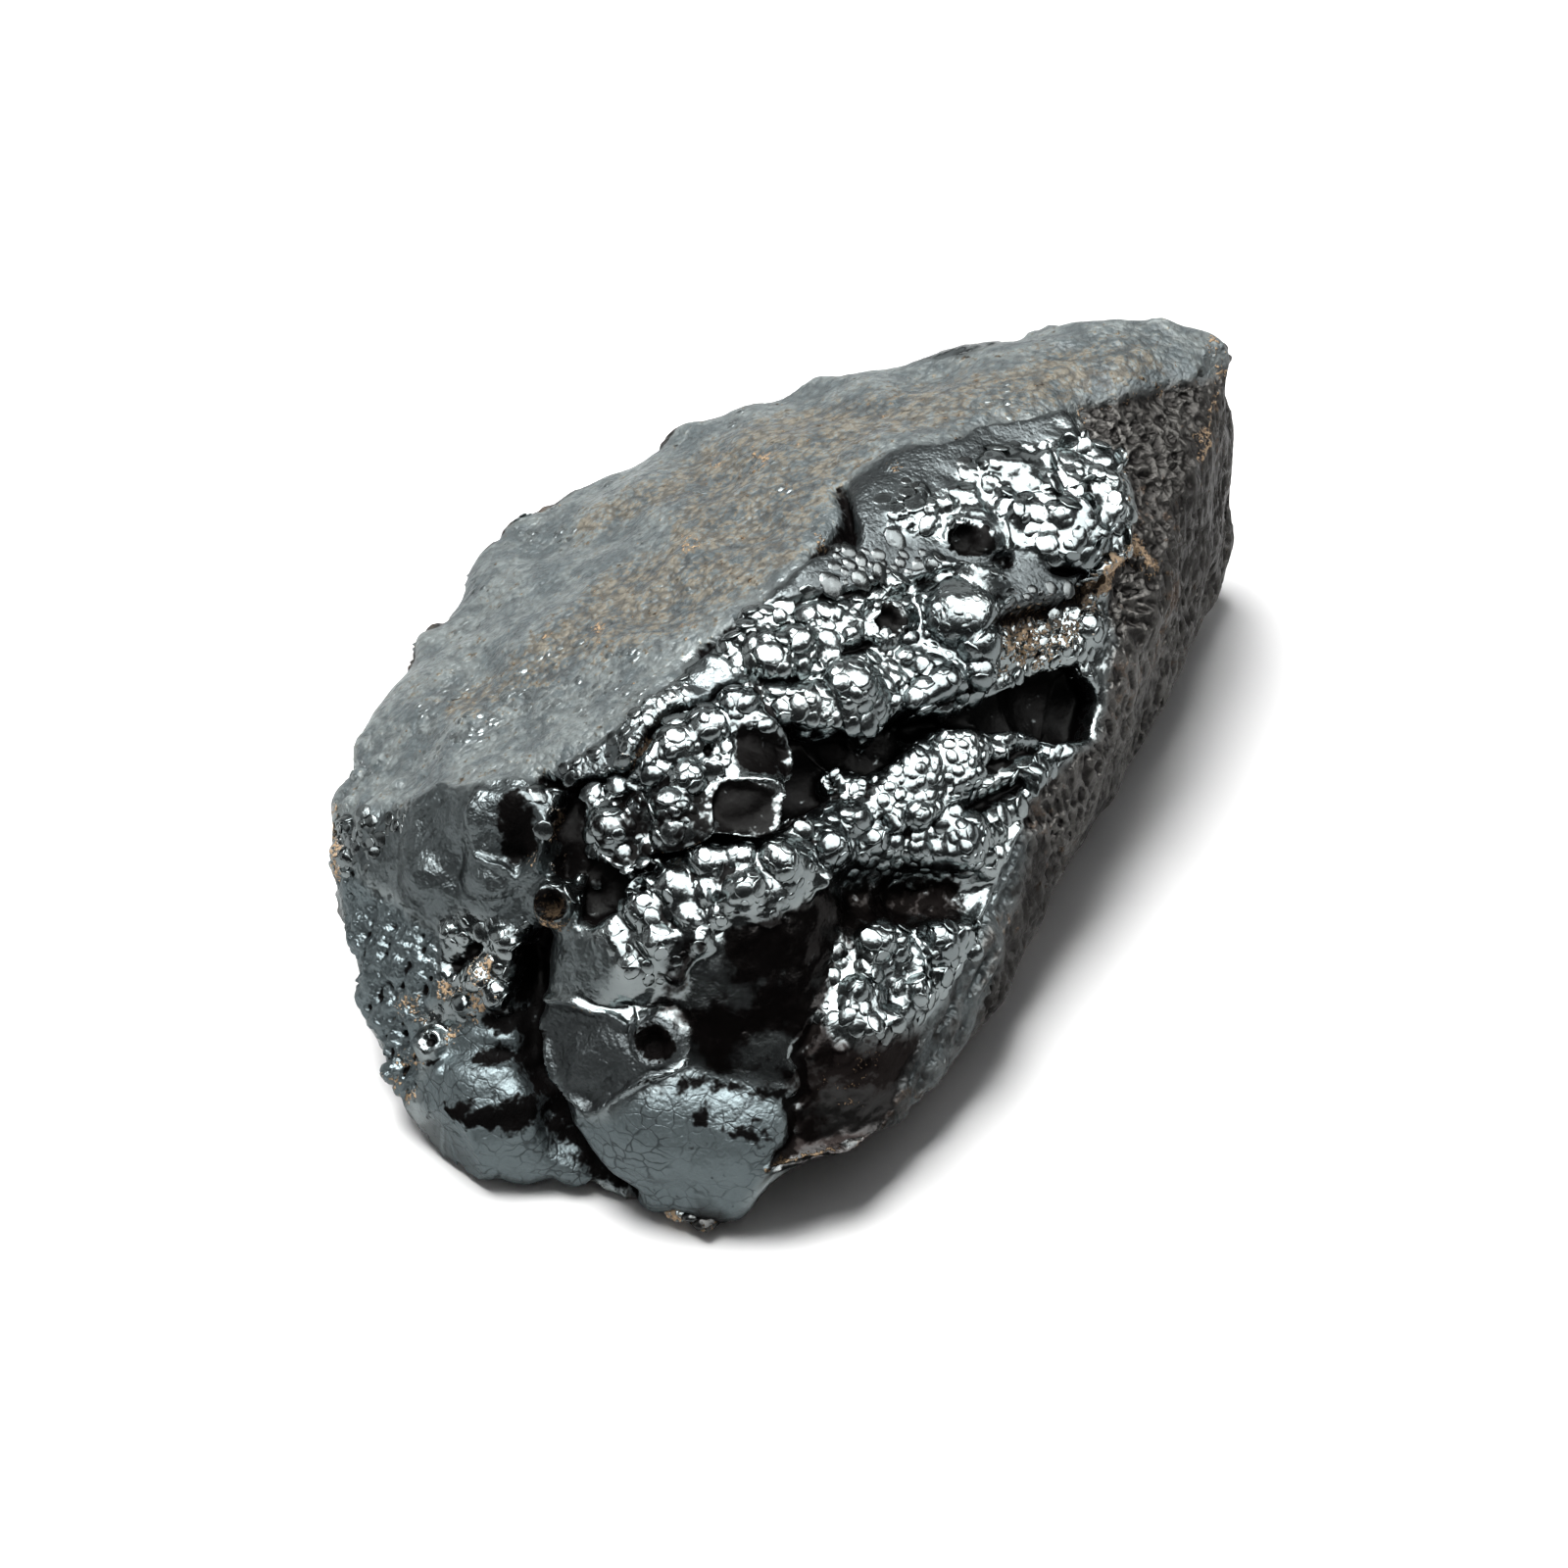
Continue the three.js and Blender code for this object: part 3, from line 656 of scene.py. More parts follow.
# fine unevenness of the crust
seams = {"size": 1.5, "deep": 0.08}
stripPits = {"size": 0.8, "deep": 0.34}
first, second = cellNoise(points + 3 * waveNoise(points, 3, 50)[:, None], seams["size"], 51)
between = smoothStep(0.0, 0.35, second - first)
surface.height += seams["deep"] * (between - 1) * crust * (1 - 0.8 * calm)
surface.height += (hillsOf("crustFine") + hillsOf("crust")) * crust
ripple = strongest([(outline, 8, 1) for outline in rippleOutlines])
surface.height += (hillsOf("rippleFine", warped) + hillsOf("ripple", warped)) * ripple * crust
strip = insideShare(regions["nearStrip"], 12)
height, dome = domesOf("strip", warped, 0.75)
surface.height += height * (dome - 0.4) * strip
first, second = cellNoise(warped * (1, 1, 0.6), stripPits["size"], 84)
surface.height -= stripPits["deep"] * smoothStep(0.05, 0.5, second - first) * strip
drape = insideShare(regions["drape"], 10)
surface.height += hillsOf("stripFine") * np.maximum(strip, 0.5 * drape)
surface.height += hillsOf("folds", points * (1, 1, 0.35)) * np.maximum(drape, 0.6 * strip)

# fibres of the broken edge, along the edge
along, across = pixels @ (0.41, -0.91), pixels @ (0.91, 0.41)
surface.height += hillsOf("fibres", np.column_stack([along / 10, across, 0 * across])) * fibrous
satin = np.maximum(satin, 0.5 * fibrous)
print("stage: broken side, top face and crust grain")


def keepInBox(places):
    # the outermost lumps are pressed in, so that the stone keeps the solid's size
    low, high = np.array(solidBox[0]) / mm, np.array(solidBox[1]) / mm
    return np.clip(places, low, high)


# stretches moved as a whole: where in pixels (from, full, still full, until), up to which height above the
# floor (full, until), and the move in millimetres to the right, up the image, to the camera and off the floor
nudges = {
    "foot": {"across": (752, 800, 888, 940), "down": (1110, 1178, 1500, 1600), "below": (1.5, 7),
        "move": (0, 0, 1.2, 2.8)},
    "farRight": {"across": (1215, 1275, 1500, 1600), "down": (350, 400, 500, 580), "below": (90, 99),
        "move": (-1.1, 0, 0, 0)},
}


def nudge(places):
    pixel = toPixels(places)[0]
    for part in nudges.values():
        share = 1 - smoothStep(*part["below"], places[:, 2])
        for axis, side in ((0, "across"), (1, "down")):
            start, full, last, end = part[side]
            share *= smoothStep(start, full, pixel[:, axis]) * (1 - smoothStep(last, end, pixel[:, axis]))
        move = cameraAxes @ part["move"][:3] + (0, 0, part["move"][3])
        places = places + share[:, None] * move
    return places


hollow = spread(surface.height, 14) - surface.height
hollow = np.clip(hollow / 0.35, -1, 1)
shaped = keepInBox(nudge(points + normals * surface.height[:, None]))
writePoints(stone, shaped)
shapedNormals = readPoints(stone)[1]
share = bodyShape["triangles"] / (2 * len(stone.data.polygons))
applyModifier(stone, "DECIMATE", decimate_type="COLLAPSE", ratio=share)
finalPoints = readPoints(stone)[0]
writePoints(stone, keepInBox(finalPoints))
print("stage: thinned to", sum(len(face.vertices) - 2 for face in stone.data.polygons), "triangles")

# rust: pixel, radius in pixels and strength
rustSpots = [
    (568, 930, 18, 1), (494, 993, 16, 0.9), (490, 1018, 14, 0.9), (545, 875, 12, 0.7), (420, 1030, 26, 0.6),
    (415, 1080, 20, 0.6), (1045, 655, 34, 1), (1085, 645, 26, 0.9), (1105, 612, 20, 0.9),
    (1062, 680, 18, 0.8), (836, 549, 10, 1), (912, 481, 10, 0.8), (611, 640, 14, 0.7), (732, 473, 16, 0.7),
    (779, 467, 18, 0.7), (703, 556, 16, 0.7), (480, 1040, 16, 0.6), (1232, 440, 16, 0.8),
    (1250, 380, 14, 0.7), (1240, 350, 14, 0.6), (700, 1000, 16, 0.35), (660, 1040, 10, 0.5),
    (860, 1110, 30, 0.5), (885, 1085, 22, 0.6), (560, 880, 14, 0.5), (400, 1108, 16, 0.9),
    (425, 1120, 12, 0.8), (462, 1055, 12, 0.9), (455, 1010, 14, 0.9), (692, 1228, 11, 1.4),
    (708, 1238, 11, 1.4), (724, 1240, 11, 1.4), (1020, 690, 14, 0.7), (868, 745, 12, 0.4), (640, 780, 8, 0.8),
    (820, 640, 14, 0.3), (700, 640, 14, 0.5),
]
rustLines = [
    ([(632, 793), (650, 776), (661, 758), (671, 748), (683, 735)], 4, 0.9),
    ([(669, 870), (683, 866), (700, 856), (720, 850)], 4, 0.9),
    ([(1100, 415), (1098, 452), (1120, 480), (1128, 520), (1125, 590), (1140, 640)], 10, 0.4),
    ([(1122, 600), (1125, 578), (1146, 562), (1160, 560), (1175, 578)], 11, 1.3),
    ([(1265, 380), (1245, 420), (1232, 465)], 6, 0.7),
    ([(334, 800), (338, 840), (345, 900)], 6, 0.9),
    ([(785, 1189), (818, 1178), (878, 1180)], 6, 0.9),
    ([(562, 812), (570, 830), (562, 860)], 5, 0.8),
    ([(556, 1020), (587, 1021), (612, 1036)], 4, 0.6),
    ([(1110, 412), (1180, 399), (1262, 378)], 8, 0.4),
    ([(700, 440), (620, 560), (560, 640)], 26, 0.25),
]
rust = np.zeros(len(points))
for across, down, radius, strength in rustSpots:
    gone = np.linalg.norm(pixels + wobble - (across, down), axis=1)
    rust = np.maximum(rust, strength * np.exp(-(gone / radius) ** 2) * seen)
for line, width, strength in rustLines:
    rust = np.maximum(rust, strength * nearLine(line, width))

# parts that are darker than the rest of their kind: painted shade on the far and near ends of the broken
# side, a darker tone on the others: outline, softness in pixels, amount
dimAndPaintedShadeParts = [
    (regions["shell"], 4, 0.55), (regions["smoothCrust"], 8, 0.5), (regions["upperPlate"], 4, 0.2),
    # painted shade on the far end of the broken side
    ([(1150, 400), (1270, 380), (1275, 560), (1200, 640), (1140, 560)], 40, 0.55),
    # painted shade on the near end of the broken side, beside the fibrous edge where it turns under
    ([(1066, 860), (1026, 960), (992, 1060), (940, 1176), (1000, 1170), (1070, 1040), (1140, 900)], 14, 0.8),
    (regions["drape"], 10, 0.25),
    ([(820, 1065), (870, 1060), (945, 1045), (930, 1110), (890, 1200), (780, 1210), (800, 1180), (812, 1120)],
     12, 0.85),
    ([(676, 1222), (742, 1224), (748, 1258), (670, 1254)], 5, 0.8),
]
# brownish black stretches of the smooth crust: partly the crust's own brownish tone, partly painted shade
# where the crust mirrors only the dark room
brownAndPaintedShade = 0.8 * insideShare(regions["brownAndPaintedShade"], 24) * smoothStep(-0.9, 0.1, waveNoise(points, 2.4, 91))
dimAndPaintedShade = strongest(dimAndPaintedShadeParts)

# painted shade: deep hollows, cracks, concave places, the listed dark patches and the insides of large broken
# bubbles are painted dark and hardly shine
shade = strongest([(outline, 9, 1) for height, soft, outline in ledges.values() if height < -1])
for line, width, deep in cracks:
    shade = np.maximum(shade, nearLine(line, width))
shade = np.maximum(shade * (1 - smoothStep(0.1, 0.4, surface.height - groundLevel)),
                   smoothStep(0.5, 1, hollow) * crust)
shade = np.maximum(shade, strongest([(outline, 9, strength) for outline, strength in paintedShadePatches]))
for across, down, radius, _ in openBubbles:
    if radius > 13:
        gone = np.linalg.norm(pixels - (across, down), axis=1)
        shade = np.maximum(shade, smoothStep(radius * 0.75, radius * 0.5, gone) * seen)

# small beads that cover parts of the crust: outline, smallest and largest radius in millimetres,
# how much of the outline they fill and how high they are
beadZones = [
    ([(640, 790), (653, 765), (690, 735), (722, 715), (750, 705), (770, 715), (775, 740), (742, 752),
     (738, 795), (715, 800), (705, 822), (690, 862), (655, 880), (620, 868), (605, 850), (604, 815),
     (615, 800)], (0.28, 0.85), 0.9, 1),
    ([(735, 655), (765, 625), (850, 600), (905, 590), (945, 580), (975, 590), (945, 610), (930, 640),
     (945, 680), (1000, 672), (1010, 700), (965, 725), (925, 728), (880, 735), (830, 742), (795, 735),
     (780, 700), (745, 682)], (0.28, 0.9), 0.9, 1),
    ([(900, 510), (925, 495), (965, 515), (970, 545), (905, 550)], (0.35, 0.9), 0.9, 0.9),
    ([(978, 480), (1010, 468), (1060, 470), (1095, 462), (1125, 490), (1130, 530), (1118, 560), (1114, 592),
     (1080, 585), (1040, 570), (1030, 540), (1000, 520), (975, 500)], (0.35, 0.9), 0.6, 0.8),
    ([(850, 565), (951, 578), (940, 600), (850, 618)], (0.3, 0.6), 0.8, 1.1),
    ([(900, 785), (915, 760), (955, 742), (1015, 735), (1015, 775), (998, 800), (965, 826), (930, 838),
     (900, 828)], (0.36, 0.5), 1, 1),
    ([(832, 822), (900, 828), (965, 828), (1010, 850), (1008, 895), (960, 890), (930, 900), (880, 895),
     (840, 880), (812, 852)], (0.3, 0.75), 0.9, 0.9),
    ([(826, 775), (850, 765), (902, 790), (890, 825), (826, 812)], (0.26, 0.45), 0.7, 0.8),
    ([(1005, 760), (1075, 757), (1074, 800), (1040, 830), (1010, 840), (1000, 810)], (0.4, 0.75), 0.8, 0.7),
    ([(640, 905), (680, 875), (720, 862), (800, 850), (850, 880), (820, 905), (740, 935), (700, 975),
     (650, 1000), (620, 950)], (0.25, 0.6), 0.3, 0.5),
    ([(848, 985), (870, 955), (905, 947), (985, 945), (992, 962), (950, 1020), (900, 1062), (838, 1045)],
     (0.3, 0.75), 0.85, 0.8),
    ([(560, 815), (600, 800), (605, 870), (640, 890), (640, 910), (600, 930), (562, 890)], (0.35, 0.8), 0.5,
     0.9),
    ([(455, 945), (545, 950), (540, 1030), (470, 1035), (460, 990)], (0.35, 0.75), 0.6, 0.8),
    ([(335, 790), (400, 775), (420, 800), (380, 890), (340, 890)], (0.3, 0.6), 0.6, 0.6),
    ([(1010, 640), (1030, 625), (1100, 600), (1125, 610), (1115, 690), (1040, 700), (1010, 690)], (0.3, 0.6),
     0.6, 0.8),
    ([(560, 796), (600, 776), (640, 742), (660, 715), (690, 690), (705, 700), (700, 722), (672, 745),
     (645, 778), (610, 796)], (0.22, 0.5), 0.7, 0.7),
    ([(935, 600), (1000, 590), (1018, 645), (985, 672), (940, 665), (925, 635)], (0.2, 0.5), 0.8, 0.45),
]
# small groups of beads on the smooth top: pixel and how many
glintSpots = [
    (561, 672, 6), (588, 657, 4), (635, 669, 8), (517, 709, 8), (541, 706, 8), (615, 702, 8),
    (444, 746, 10), (494, 741, 10), (477, 753, 8), (548, 716, 6), (467, 709, 4), (440, 770, 6),
    (534, 518, 6), (534, 548, 8), (615, 498, 4), (715, 503, 6), (776, 478, 6), (752, 427, 6), (580, 548, 6),
    (575, 690, 4), (530, 690, 4), (600, 720, 6), (430, 725, 4), (352, 844, 10), (352, 872, 10),
    (366, 789, 10), (1015, 420, 8), (1030, 400, 4), (700, 600, 2), (660, 560, 2), (740, 540, 2),
    (800, 500, 2), (490, 600, 4), (470, 640, 4), (655, 705, 8),
]
# how they are strewn: strays are in pixels, sizes are radii in millimetres
glints = {"stray": (9, 5), "size": (0.18, 0.4), "high": 0.7}
# knobs under the near end: pixel and radius in millimetres
footKnobs = [(692, 1228, 0.8), (708, 1238, 0.7), (724, 1240, 0.9)]
knobHigh = 1.8
# one bead: radii are where it meets the ground, shares of that radius for the rest
beadShape = {"sides": 9, "rings": 6, "reach": 1.15, "round": 2.3, "under": 0.4, "uneven": 0.06,
             "tight": 0.84, "most": 4000}


def packBeads(share, size, taken, seed):
    # points of the body that get a bead, and its radius: the biggest first, then what fits between them
    picker = np.random.default_rng(seed)
    candidates = picker.permutation(np.flatnonzero(share > picker.random(len(points))))[:beadShape["most"]]
    low, high = size
    chosen = []
    for turn, index in enumerate(candidates):
        radius = low + (high - low) * max(0, 1 - 2.2 * turn / len(candidates)) * picker.uniform(0.5, 1)
        apart = np.sum((taken[:, :3] - shaped[index]) ** 2, axis=1)
        if np.any(apart < (beadShape["tight"] * (taken[:, 3] + radius)) ** 2):
            continue
        taken = np.vstack([taken, [*shaped[index], radius]])
        chosen.append((index, radius))
    return chosen, taken


def beadModel():
    # a low dome whose rim reaches below the ground, closed underneath
    bpy.ops.mesh.primitive_uv_sphere_add(segments=beadShape["sides"], ring_count=beadShape["rings"], radius=1,
                                         location=(0, 0, 0))
    model = bpy.context.object
    bpy.ops.object.mode_set(mode="EDIT")
    bpy.ops.mesh.quads_convert_to_tris()
    bpy.ops.object.mode_set(mode="OBJECT")
    ball = np.array([vertex.co for vertex in model.data.vertices])
    # Blender lists the triangles in an order of its own each run, so they are sorted
    triples = [tuple(face.vertices) for face in model.data.polygons]
    faces = np.array(sorted(min((a, b, c), (b, c, a), (c, a, b)) for a, b, c in triples))
    bpy.data.objects.remove(model)
    reach, curve = beadShape["reach"], beadShape["round"]
    out = np.linalg.norm(ball[:, :2], axis=1) * reach
    rim = math.sqrt(curve ** 2 - 1)
    dome = np.sqrt(curve ** 2 - out ** 2) - rim
    floor = math.sqrt(curve ** 2 - reach ** 2) - rim + beadShape["under"] * ball[:, 2]
    return np.column_stack([ball[:, :2] * reach, np.where(ball[:, 2] > -0.01, dome, floor)]), faces


def addMark(piece, name, values):
    # a number for each point of a mesh, which the material reads
    attribute = piece.data.attributes.new(name, "FLOAT", "POINT")
    attribute.data.foreach_set("value", values.astype(np.float32))


def makeBeads(name, chosen):
    # one bead, copied to each chosen point with its own size, stretch and turn, joined in one mesh
    ball, faces = beadModel()
    picker = np.random.default_rng(9)
    places, corners = [], []
    for count, (index, radius, high) in enumerate(chosen):
        up = shapedNormals[index]
        side = np.cross(up, picker.normal(size=3))
        side /= np.linalg.norm(side)
        stretch = picker.uniform(0.85, 1.2)
        axes = np.stack([side * stretch, np.cross(up, side) / stretch, up * high * picker.uniform(0.7, 1.2)])
        uneven = 1 + beadShape["uneven"] * picker.normal(size=(len(ball), 1))
        places.append(shaped[index] + (ball * uneven) @ axes * radius)
        corners.append(faces + count * len(ball))
    mesh = bpy.data.meshes.new(name)
    mesh.from_pydata((keepInBox(np.concatenate(places)) * mm).tolist(), [], np.concatenate(corners).tolist())
    beads = bpy.data.objects.new(name, mesh)
    bpy.context.scene.collection.objects.link(beads)
    owners = np.repeat([index for index, _, _ in chosen], len(ball))
    # the beads take the painted shade marks of the body under them, with its rust and top colour
    beadMarks = {"rust": rust, "shade": shade * 0.7, "brownAndPaintedShade": brownAndPaintedShade, "dimAndPaintedShade": dimAndPaintedShade, "topFace": topFace * 0.3}
    for mark, values in beadMarks.items():
        addMark(beads, mark, values[owners])
    print("stage:", name, len(chosen), "beads,", len(mesh.polygons), "triangles")
    return beads


taken = np.array([[0, 0, -99, 0.0]])
chosen = []
bare = smoothStep(-0.75, -0.25, waveNoise(points, 2.0, 99))
for order, (outline, size, full, high) in enumerate(beadZones):
    share = insideShare(outline, 8) * full * crust * (1 - shade) * bare
    found, taken = packBeads(share, size, taken, 100 + order)
    chosen += [(index, radius, high) for index, radius in found]
chosen += [(surface.atPixel(across, down), radius, knobHigh) for across, down, radius in footKnobs]
picker = random.Random(8)
for across, down, count in glintSpots:
    for _ in range(count):
        index = surface.atPixel(across + picker.gauss(0, glints["stray"][0]),
                                down + picker.gauss(0, glints["stray"][1]))
        chosen.append((index, picker.uniform(*glints["size"]), glints["high"]))
half = len(chosen) // 2
crustBeads = makeBeads("crustBeads", chosen[:half])
lowerBeads = makeBeads("lowerBeads", chosen[half:])

# what the whole body's points know, carried over to the points that are left
tree = makeTree(shaped, range(len(shaped)))
nearestOld = np.array([tree.find(place)[1] for place in finalPoints])
marks = {"topFace": topFace, "brokenSide": brokenSide, "hollow": hollow, "rust": rust, "satin": satin,
         "shade": shade, "scaly": scaly, "bands": bands, "brown": brown, "brownAndPaintedShade": brownAndPaintedShade, "dimAndPaintedShade": dimAndPaintedShade}
for name, values in marks.items():
    addMark(stone, name, values[nearestOld])
print("stage: marks carried over")


class Wire:
    # an output in a material's nodes, so that shader sums are written as plain sums

    def __init__(self, paint, socket):
        self.paint, self.socket = paint, socket

    def maths(self, operation, *values):
        return self.paint.node("ShaderNodeMath", {"operation": operation}, *values)

    def __add__(self, other):
        return self.maths("ADD", self, other)

    def __sub__(self, other):
        return self.maths("SUBTRACT", self, other)

    def __rsub__(self, other):
        return self.maths("SUBTRACT", other, self)

    def __mul__(self, other):
        return self.maths("MULTIPLY", self, other)

    def largest(self, other):
        return self.maths("MAXIMUM", self, other)

    def step(self, low, high):
        # 0 below low, 1 above high, smooth between
        settings = {"interpolation_type": "SMOOTHSTEP"}
        return self.paint.node("ShaderNodeMapRange", settings, self, low, high, 0, 1)

    __radd__ = __add__
    __rmul__ = __mul__


class Paint:
    # one material and the nodes in it

    def __init__(self, name):
        self.material = bpy.data.materials.new(name)
        self.material.use_nodes = True
        self.nodes = self.material.node_tree.nodes
        self.nodes.clear()

    def put(self, socket, value):
        if isinstance(value, Wire):
            self.material.node_tree.links.new(value.socket, socket)
        elif value is not None:
            socket.default_value = value

    def node(self, kind, settings=None, *values, output=0, **named):
        made = self.nodes.new(kind)
        for name, value in (settings or {}).items():
            setattr(made, name, value)
        usable = [socket for socket in made.inputs if socket.enabled]
        for socket, value in zip(usable, values):
            self.put(socket, value)
        for name, value in named.items():
            self.put(made.inputs[name.replace("_", " ")], value)
        return Wire(self, made.outputs[output]) if made.outputs else None

    def mark(self, name):
        return self.node("ShaderNodeAttribute", {"attribute_name": name}, output="Fac")

    def scale(self, places, stretch):
        return self.node("ShaderNodeVectorMath", {"operation": "MULTIPLY"}, places, stretch)

    def places(self):
        # object coordinates in millimetres
        return self.scale(self.node("ShaderNodeTexCoord", output="Object"), (1000, 1000, 1000))

    def warp(self, places, size, amount):
        # the same places, each pushed a little its own way
        push = self.node("ShaderNodeTexNoise", None, Vector=places, Scale=1 / size, Detail=1,
                         output="Color")
        push = self.scale(push, (amount, amount, amount))
        return self.node("ShaderNodeVectorMath", {"operation": "ADD"}, places, push)

    def noise(self, places, size, detail, rough=0.6):
        return self.node("ShaderNodeTexNoise", None, Vector=places, Scale=1 / size, Detail=detail,
                         Roughness=rough)

    def cells(self, places, size, feature="F1"):
        return self.node("ShaderNodeTexVoronoi", {"feature": feature}, Vector=places, Scale=1 / size,
                         output="Distance")

    def blend(self, share, first, second):
        # from the first colour to the second
        made = self.node("ShaderNodeMix", {"data_type": "RGBA", "blend_type": "MIX"}, output=2)
        for place, value in ((0, share), (6, first), (7, second)):
            self.put(made.socket.node.inputs[place], value)
        return made

    def finish(self, paintedShadeColour=None, paintedShadeShare=None, **sockets):
        shader = self.node("ShaderNodeBsdfPrincipled", None, **sockets)
        # painted shade: a near-black shader without shine is mixed in by the given share
        if paintedShadeColour:
            paintedShade = self.node("ShaderNodeBsdfPrincipled", None, Base_Color=paintedShadeColour, Roughness=0.9,
                             Specular_IOR_Level=0.0)
            shader = self.node("ShaderNodeMixShader", None, paintedShadeShare, shader, paintedShade)
        self.node("ShaderNodeOutputMaterial", None, Surface=shader)
        return self.material


# colours and finishes of the stone, in linear values
stoneLook = {
    "crust": (0.19, 0.212, 0.212, 1), "crustDark": (0.13, 0.147, 0.149, 1), "crustRough": 0.2,
    "satin": (0.095, 0.115, 0.12, 1), "satinRough": 0.38, "scaleLine": (0.03, 0.035, 0.037, 1),
    "top": (0.072, 0.089, 0.093, 1), "topLight": (0.15, 0.172, 0.17, 1), "topCreviceShade": (0.025, 0.026, 0.025, 1),
    "topRust": (0.15, 0.128, 0.09, 1), "topRough": 0.5,
    "broken": (0.011, 0.01, 0.009, 1), "brokenLight": (0.06, 0.058, 0.054, 1), "brokenRough": 0.42,
    # painted shade: this line's colours darken hollows, cracks and dark patches, and the dark bulge and
    # stretches in shade, the bulge partly in the crust's own brownish tone
    "shade": (0.012, 0.01, 0.009, 1), "brownAndPaintedShade": (0.018, 0.014, 0.013, 1),
    "rust": (0.07, 0.035, 0.015, 1), "tan": (0.42, 0.29, 0.17, 1), "glancing": (0.6, 0.6, 0.6, 1),
    # painted shade: colour of the dark shader without shine that is mixed in over the shaded places
    "paintedShade": (0.002, 0.0015, 0.0015, 1),
}


def stoneMaterial():
    paint = Paint("kidneyOre")
    look = stoneLook
    top, broken, low, rustMark, satin, shade, scaly, bands, brown, brownAndPaintedShade, dimAndPaintedShade = map(paint.mark, marks)
    place = paint.places()
    warped = paint.warp(place, 1.1, 0.9)
    coarse = paint.noise(place, 6, 1, 0.55)
    patches, fine = paint.noise(place, 2.6, 2), paint.noise(place, 0.9, 2)
    finest = paint.noise(place, 0.28, 1)
    grain = paint.cells(warped, 0.62)
    scales = paint.cells(paint.scale(warped, (1, 1, 1.6)), 1.3, "DISTANCE_TO_EDGE")
    netting = 0.55 - paint.cells(paint.scale(warped, (1, 1, 0.35)), 0.7) * 0.8
    crust = 1 - top.largest(broken)
    # painted shade with ragged edges, and the same for the dark bulge
    shade = (shade + (fine - 0.5) * 2).step(0.3, 0.7)
    brownAndPaintedShade = (brownAndPaintedShade * 1.2 + (fine - 0.5) * 1.5).step(0.25, 0.75) * 0.9

    crustColour = paint.blend(coarse.step(0.35, 0.65), look["crust"], look["crustDark"])
    crustColour = paint.blend(satin.largest(scaly), crustColour, look["satin"])
    scaleLine = (1 - scales.step(0.0, 0.09)) * scaly * (coarse * 0.5 + patches * 0.5).step(0.38, 0.56)
    crustColour = paint.blend(scaleLine * 0.85, crustColour, look["scaleLine"])
    # painted shade: the dark bulge, the shaded stretches and the darker parts are painted towards a
    # near-black brown, partly as the crust's own tone
    crustColour = paint.blend(brownAndPaintedShade, crustColour, look["brownAndPaintedShade"])
    crustColour = paint.blend(dimAndPaintedShade, crustColour, look["brownAndPaintedShade"])
    topColour = paint.blend((patches * 0.6 + fine * 0.4).step(0.42, 0.58), look["top"], look["topLight"])
    topSpeckle = (patches * 0.25 + fine * 0.4 + finest * 0.35 + brown * 0.12 + bands * 0.02).step(0.59, 0.65)
    topColour = paint.blend(topSpeckle * 0.8, topColour, look["topRust"])
    # painted shade: crevices between grains and hollows of the top face are painted darker
    creviceShade = (low * 0.4 + grain * 0.6 + finest * 0.3).step(0.3, 0.62) * (0.35 + brown * 0.35)
    topColour = paint.blend(creviceShade, topColour, look["topCreviceShade"])
    topGlint = (finest * 0.5 + fine * 0.5).step(0.58, 0.65) * patches.step(0.42, 0.52) * top
    # painted shade: hollows and pits of the broken side take its darker colour
    brokenShare = (fine * 0.6 + low * -0.3 + coarse * 0.5 - netting * 0.3).step(0.4, 0.6)
    brokenColour = paint.blend(brokenShare * (1 - dimAndPaintedShade), look["broken"], look["brokenLight"])
    satinOnBroken = satin * (fine * 0.6 + patches * 0.6).step(0.4, 0.7)
    brokenColour = paint.blend(satinOnBroken, brokenColour, look["satin"])

    orange = (finest * 0.5 + fine * 0.5 + brown * 0.03).step(0.66, 0.72) * top * 0.9
    brokenRust = (coarse * 0.6 + fine * 0.7).step(0.74, 0.85) * broken * 0.4
    spotRust = (rustMark * 0.55 + finest * 0.9 + fine * 0.6 + low * 0.1 - 0.8).step(0.3, 0.46)
    spotRust = spotRust * rustMark.step(0.1, 0.3)
    rustShare = orange.largest(brokenRust).largest(spotRust)
    tanShare = (finest * 0.5 + fine * 0.3 + rustMark * 0.2).step(0.46, 0.64)
    rustColour = paint.blend(tanShare, look["rust"], look["tan"])
    colour = paint.blend(top, crustColour, topColour)
    colour = paint.blend(broken, colour, brokenColour)
    # painted shade over hollows, cracks and dark patches
    colour = paint.blend(shade * 0.85, colour, look["shade"])
    colour = paint.blend(rustShare, colour, rustColour)

    rough = look["crustRough"] + (fine - 0.4) * 0.15 + satin * (look["satinRough"] - look["crustRough"])
    rough = rough + top * (look["topRough"] - look["crustRough"] + (fine - 0.5) * 0.3)
    rough = rough + broken * (look["brokenRough"] - look["crustRough"])
    rough = rough + rustShare * 0.35 + topSpeckle * top * 0.15 - topGlint * 0.25 + scaly * 0.28
    rough = rough + shade * 0.2 + dimAndPaintedShade * 0.12
    metal = (1 - top * 0.85 + topGlint * 0.6 - broken * 0.3) * (1 - rustShare)

    crustHeight = fine * 0.05 + finest * 0.014 - scaleLine * 0.02
    crustHeight = crustHeight + satin * (finest * 0.07 + fine * 0.2) + scaly * (finest * 0.05 + fine * 0.08)
    topHeight = grain * -0.16 + fine * 0.14 + finest * 0.08
    brokenHeight = netting.step(0, 0.4) * -0.16 + finest * 0.07 + fine * 0.1
    height = crustHeight * crust + topHeight * top + brokenHeight * broken + rustShare * finest * 0.2
    normal = paint.node("ShaderNodeBump", None, Strength=1, Distance=mm, Height=height)
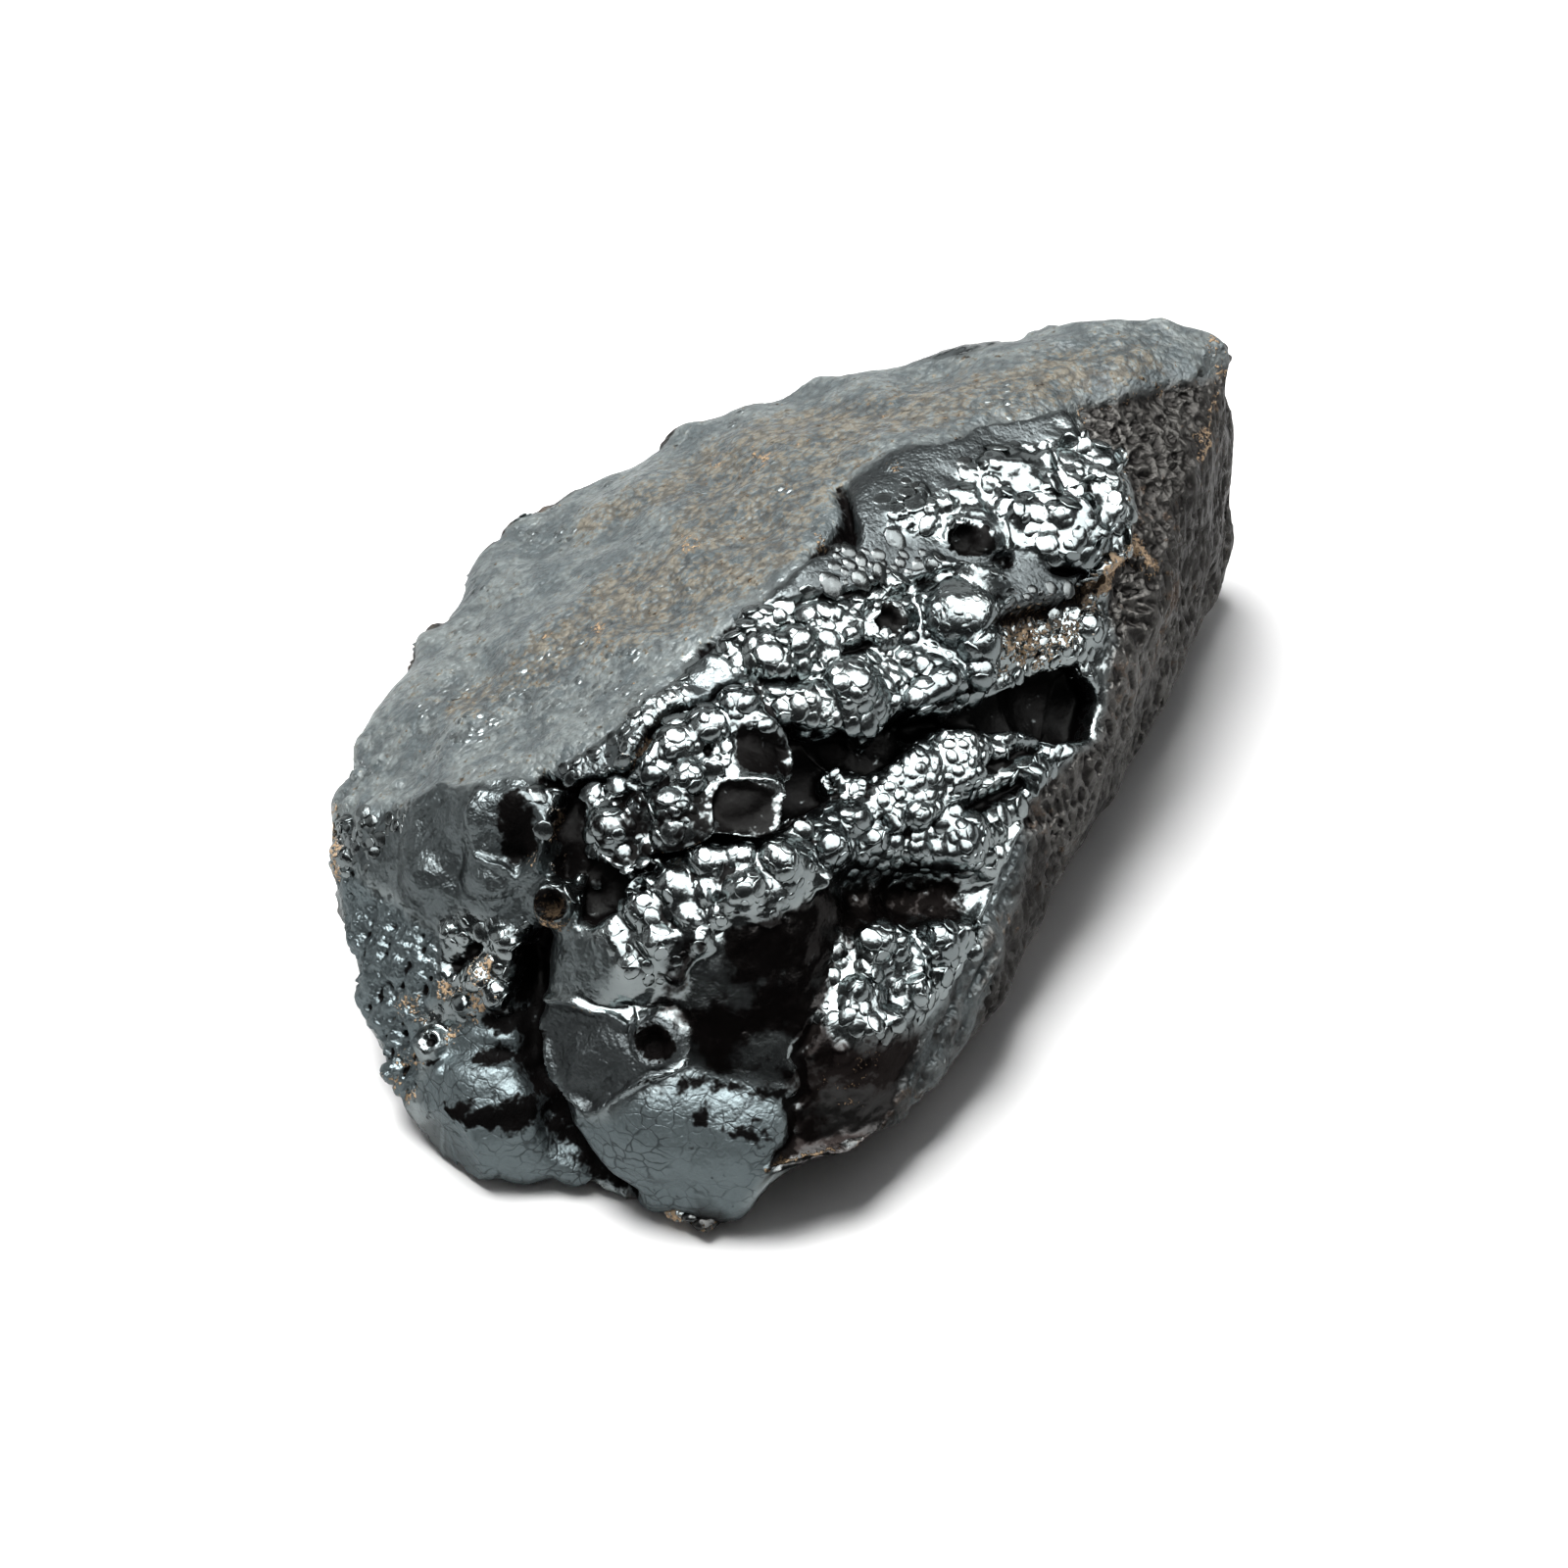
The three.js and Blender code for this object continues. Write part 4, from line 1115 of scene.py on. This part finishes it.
    # painted shade: a dark shader without shine is mixed in over hollows, cracks, dark patches, the dark
    # bulge and the stretches in shade
    return paint.finish(Base_Color=colour, Roughness=rough, Metallic=metal, Normal=normal,
                        Specular_Tint=look["glancing"], paintedShadeColour=look["paintedShade"],
                        paintedShadeShare=(shade * 0.9).largest(brownAndPaintedShade * 0.75).largest(dimAndPaintedShade * 0.5 * crust))


kidneyOre = stoneMaterial()
for piece in (stone, crustBeads, lowerBeads):
    piece.data.materials.clear()
    piece.data.materials.append(kidneyOre)
    selectOnly(piece)
    bpy.ops.object.shade_smooth()
    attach(piece, "root")
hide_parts("hematite")
print("stage: stone painted")

# floor, lights and surroundings: places in metres from the stone, across and away as the camera sees them
floorLook = {"size": 6, "colour": (0.86, 0.86, 0.86, 1), "rough": 0.7}
lights = [
    {"name": "main", "across": -0.13, "away": 0.13, "height": 0.6, "size": (0.36, 0.36), "radiance": 20},
    {"name": "overhead", "across": 0.02, "away": -0.14, "height": 0.6, "size": (0.7, 0.6), "radiance": 7,
     "sheenOnly": True},
    {"name": "right", "across": 0.42, "away": 0.02, "height": 0.46, "size": (0.5, 0.45), "radiance": 7.5,
     "sheenOnly": True},
    {"name": "behind", "across": -0.1, "away": 0.9, "height": 0.4, "size": (1.2, 0.5), "radiance": 0.9},
    {"name": "left", "across": -0.8, "away": 0.0, "height": 0.35, "size": (0.5, 0.5), "radiance": 0.9},
]
surroundings = {"seen": 1.0, "reflected": 0.04}


def makeFloor():
    bpy.ops.mesh.primitive_plane_add(size=floorLook["size"], location=(0, 0, 0))
    floor = bpy.context.object
    floor.name = "paleFloor"
    paint = Paint("paleFloor")
    floor.data.materials.append(paint.finish(Base_Color=floorLook["colour"], Roughness=floorLook["rough"]))
    return floor


def makeLight(name, across, away, height, size, radiance, sheenOnly=False):
    turn = math.radians(view["azimuth"])
    right = Vector((math.cos(turn), math.sin(turn), 0))
    forward = Vector((-math.sin(turn), math.cos(turn), 0))
    place = right * across + forward * away + Vector((0, 0, height))
    aim = Vector((0, 0, 0.01)) - place
    bpy.ops.object.light_add(type="AREA", location=place, rotation=aim.to_track_quat("-Z", "Y").to_euler())
    light = bpy.context.object
    light.name = name
    light.data.shape = "RECTANGLE"
    light.data.size, light.data.size_y = size
    light.data.energy = radiance * math.pi * size[0] * size[1]
    light.visible_camera = False
    light.visible_diffuse = not sheenOnly


def makeWorld():
    world = bpy.data.worlds.new("paleRoom")
    bpy.context.scene.world = world
    world.use_nodes = True
    nodes, links = world.node_tree.nodes, world.node_tree.links
    nodes.clear()
    rays = nodes.new("ShaderNodeLightPath")
    span = nodes.new("ShaderNodeMapRange")
    span.inputs["To Min"].default_value = surroundings["reflected"]
    span.inputs["To Max"].default_value = surroundings["seen"]
    background = nodes.new("ShaderNodeBackground")
    output = nodes.new("ShaderNodeOutputWorld")
    links.new(rays.outputs["Is Camera Ray"], span.inputs["Value"])
    links.new(span.outputs["Result"], background.inputs["Strength"])
    links.new(background.outputs["Background"], output.inputs["Surface"])


makeFloor()
for light in lights:
    makeLight(**light)
makeWorld()
bpy.context.scene.view_settings.view_transform = "Standard"
bpy.context.scene.view_settings.look = "None"
print("stage: floor and light")
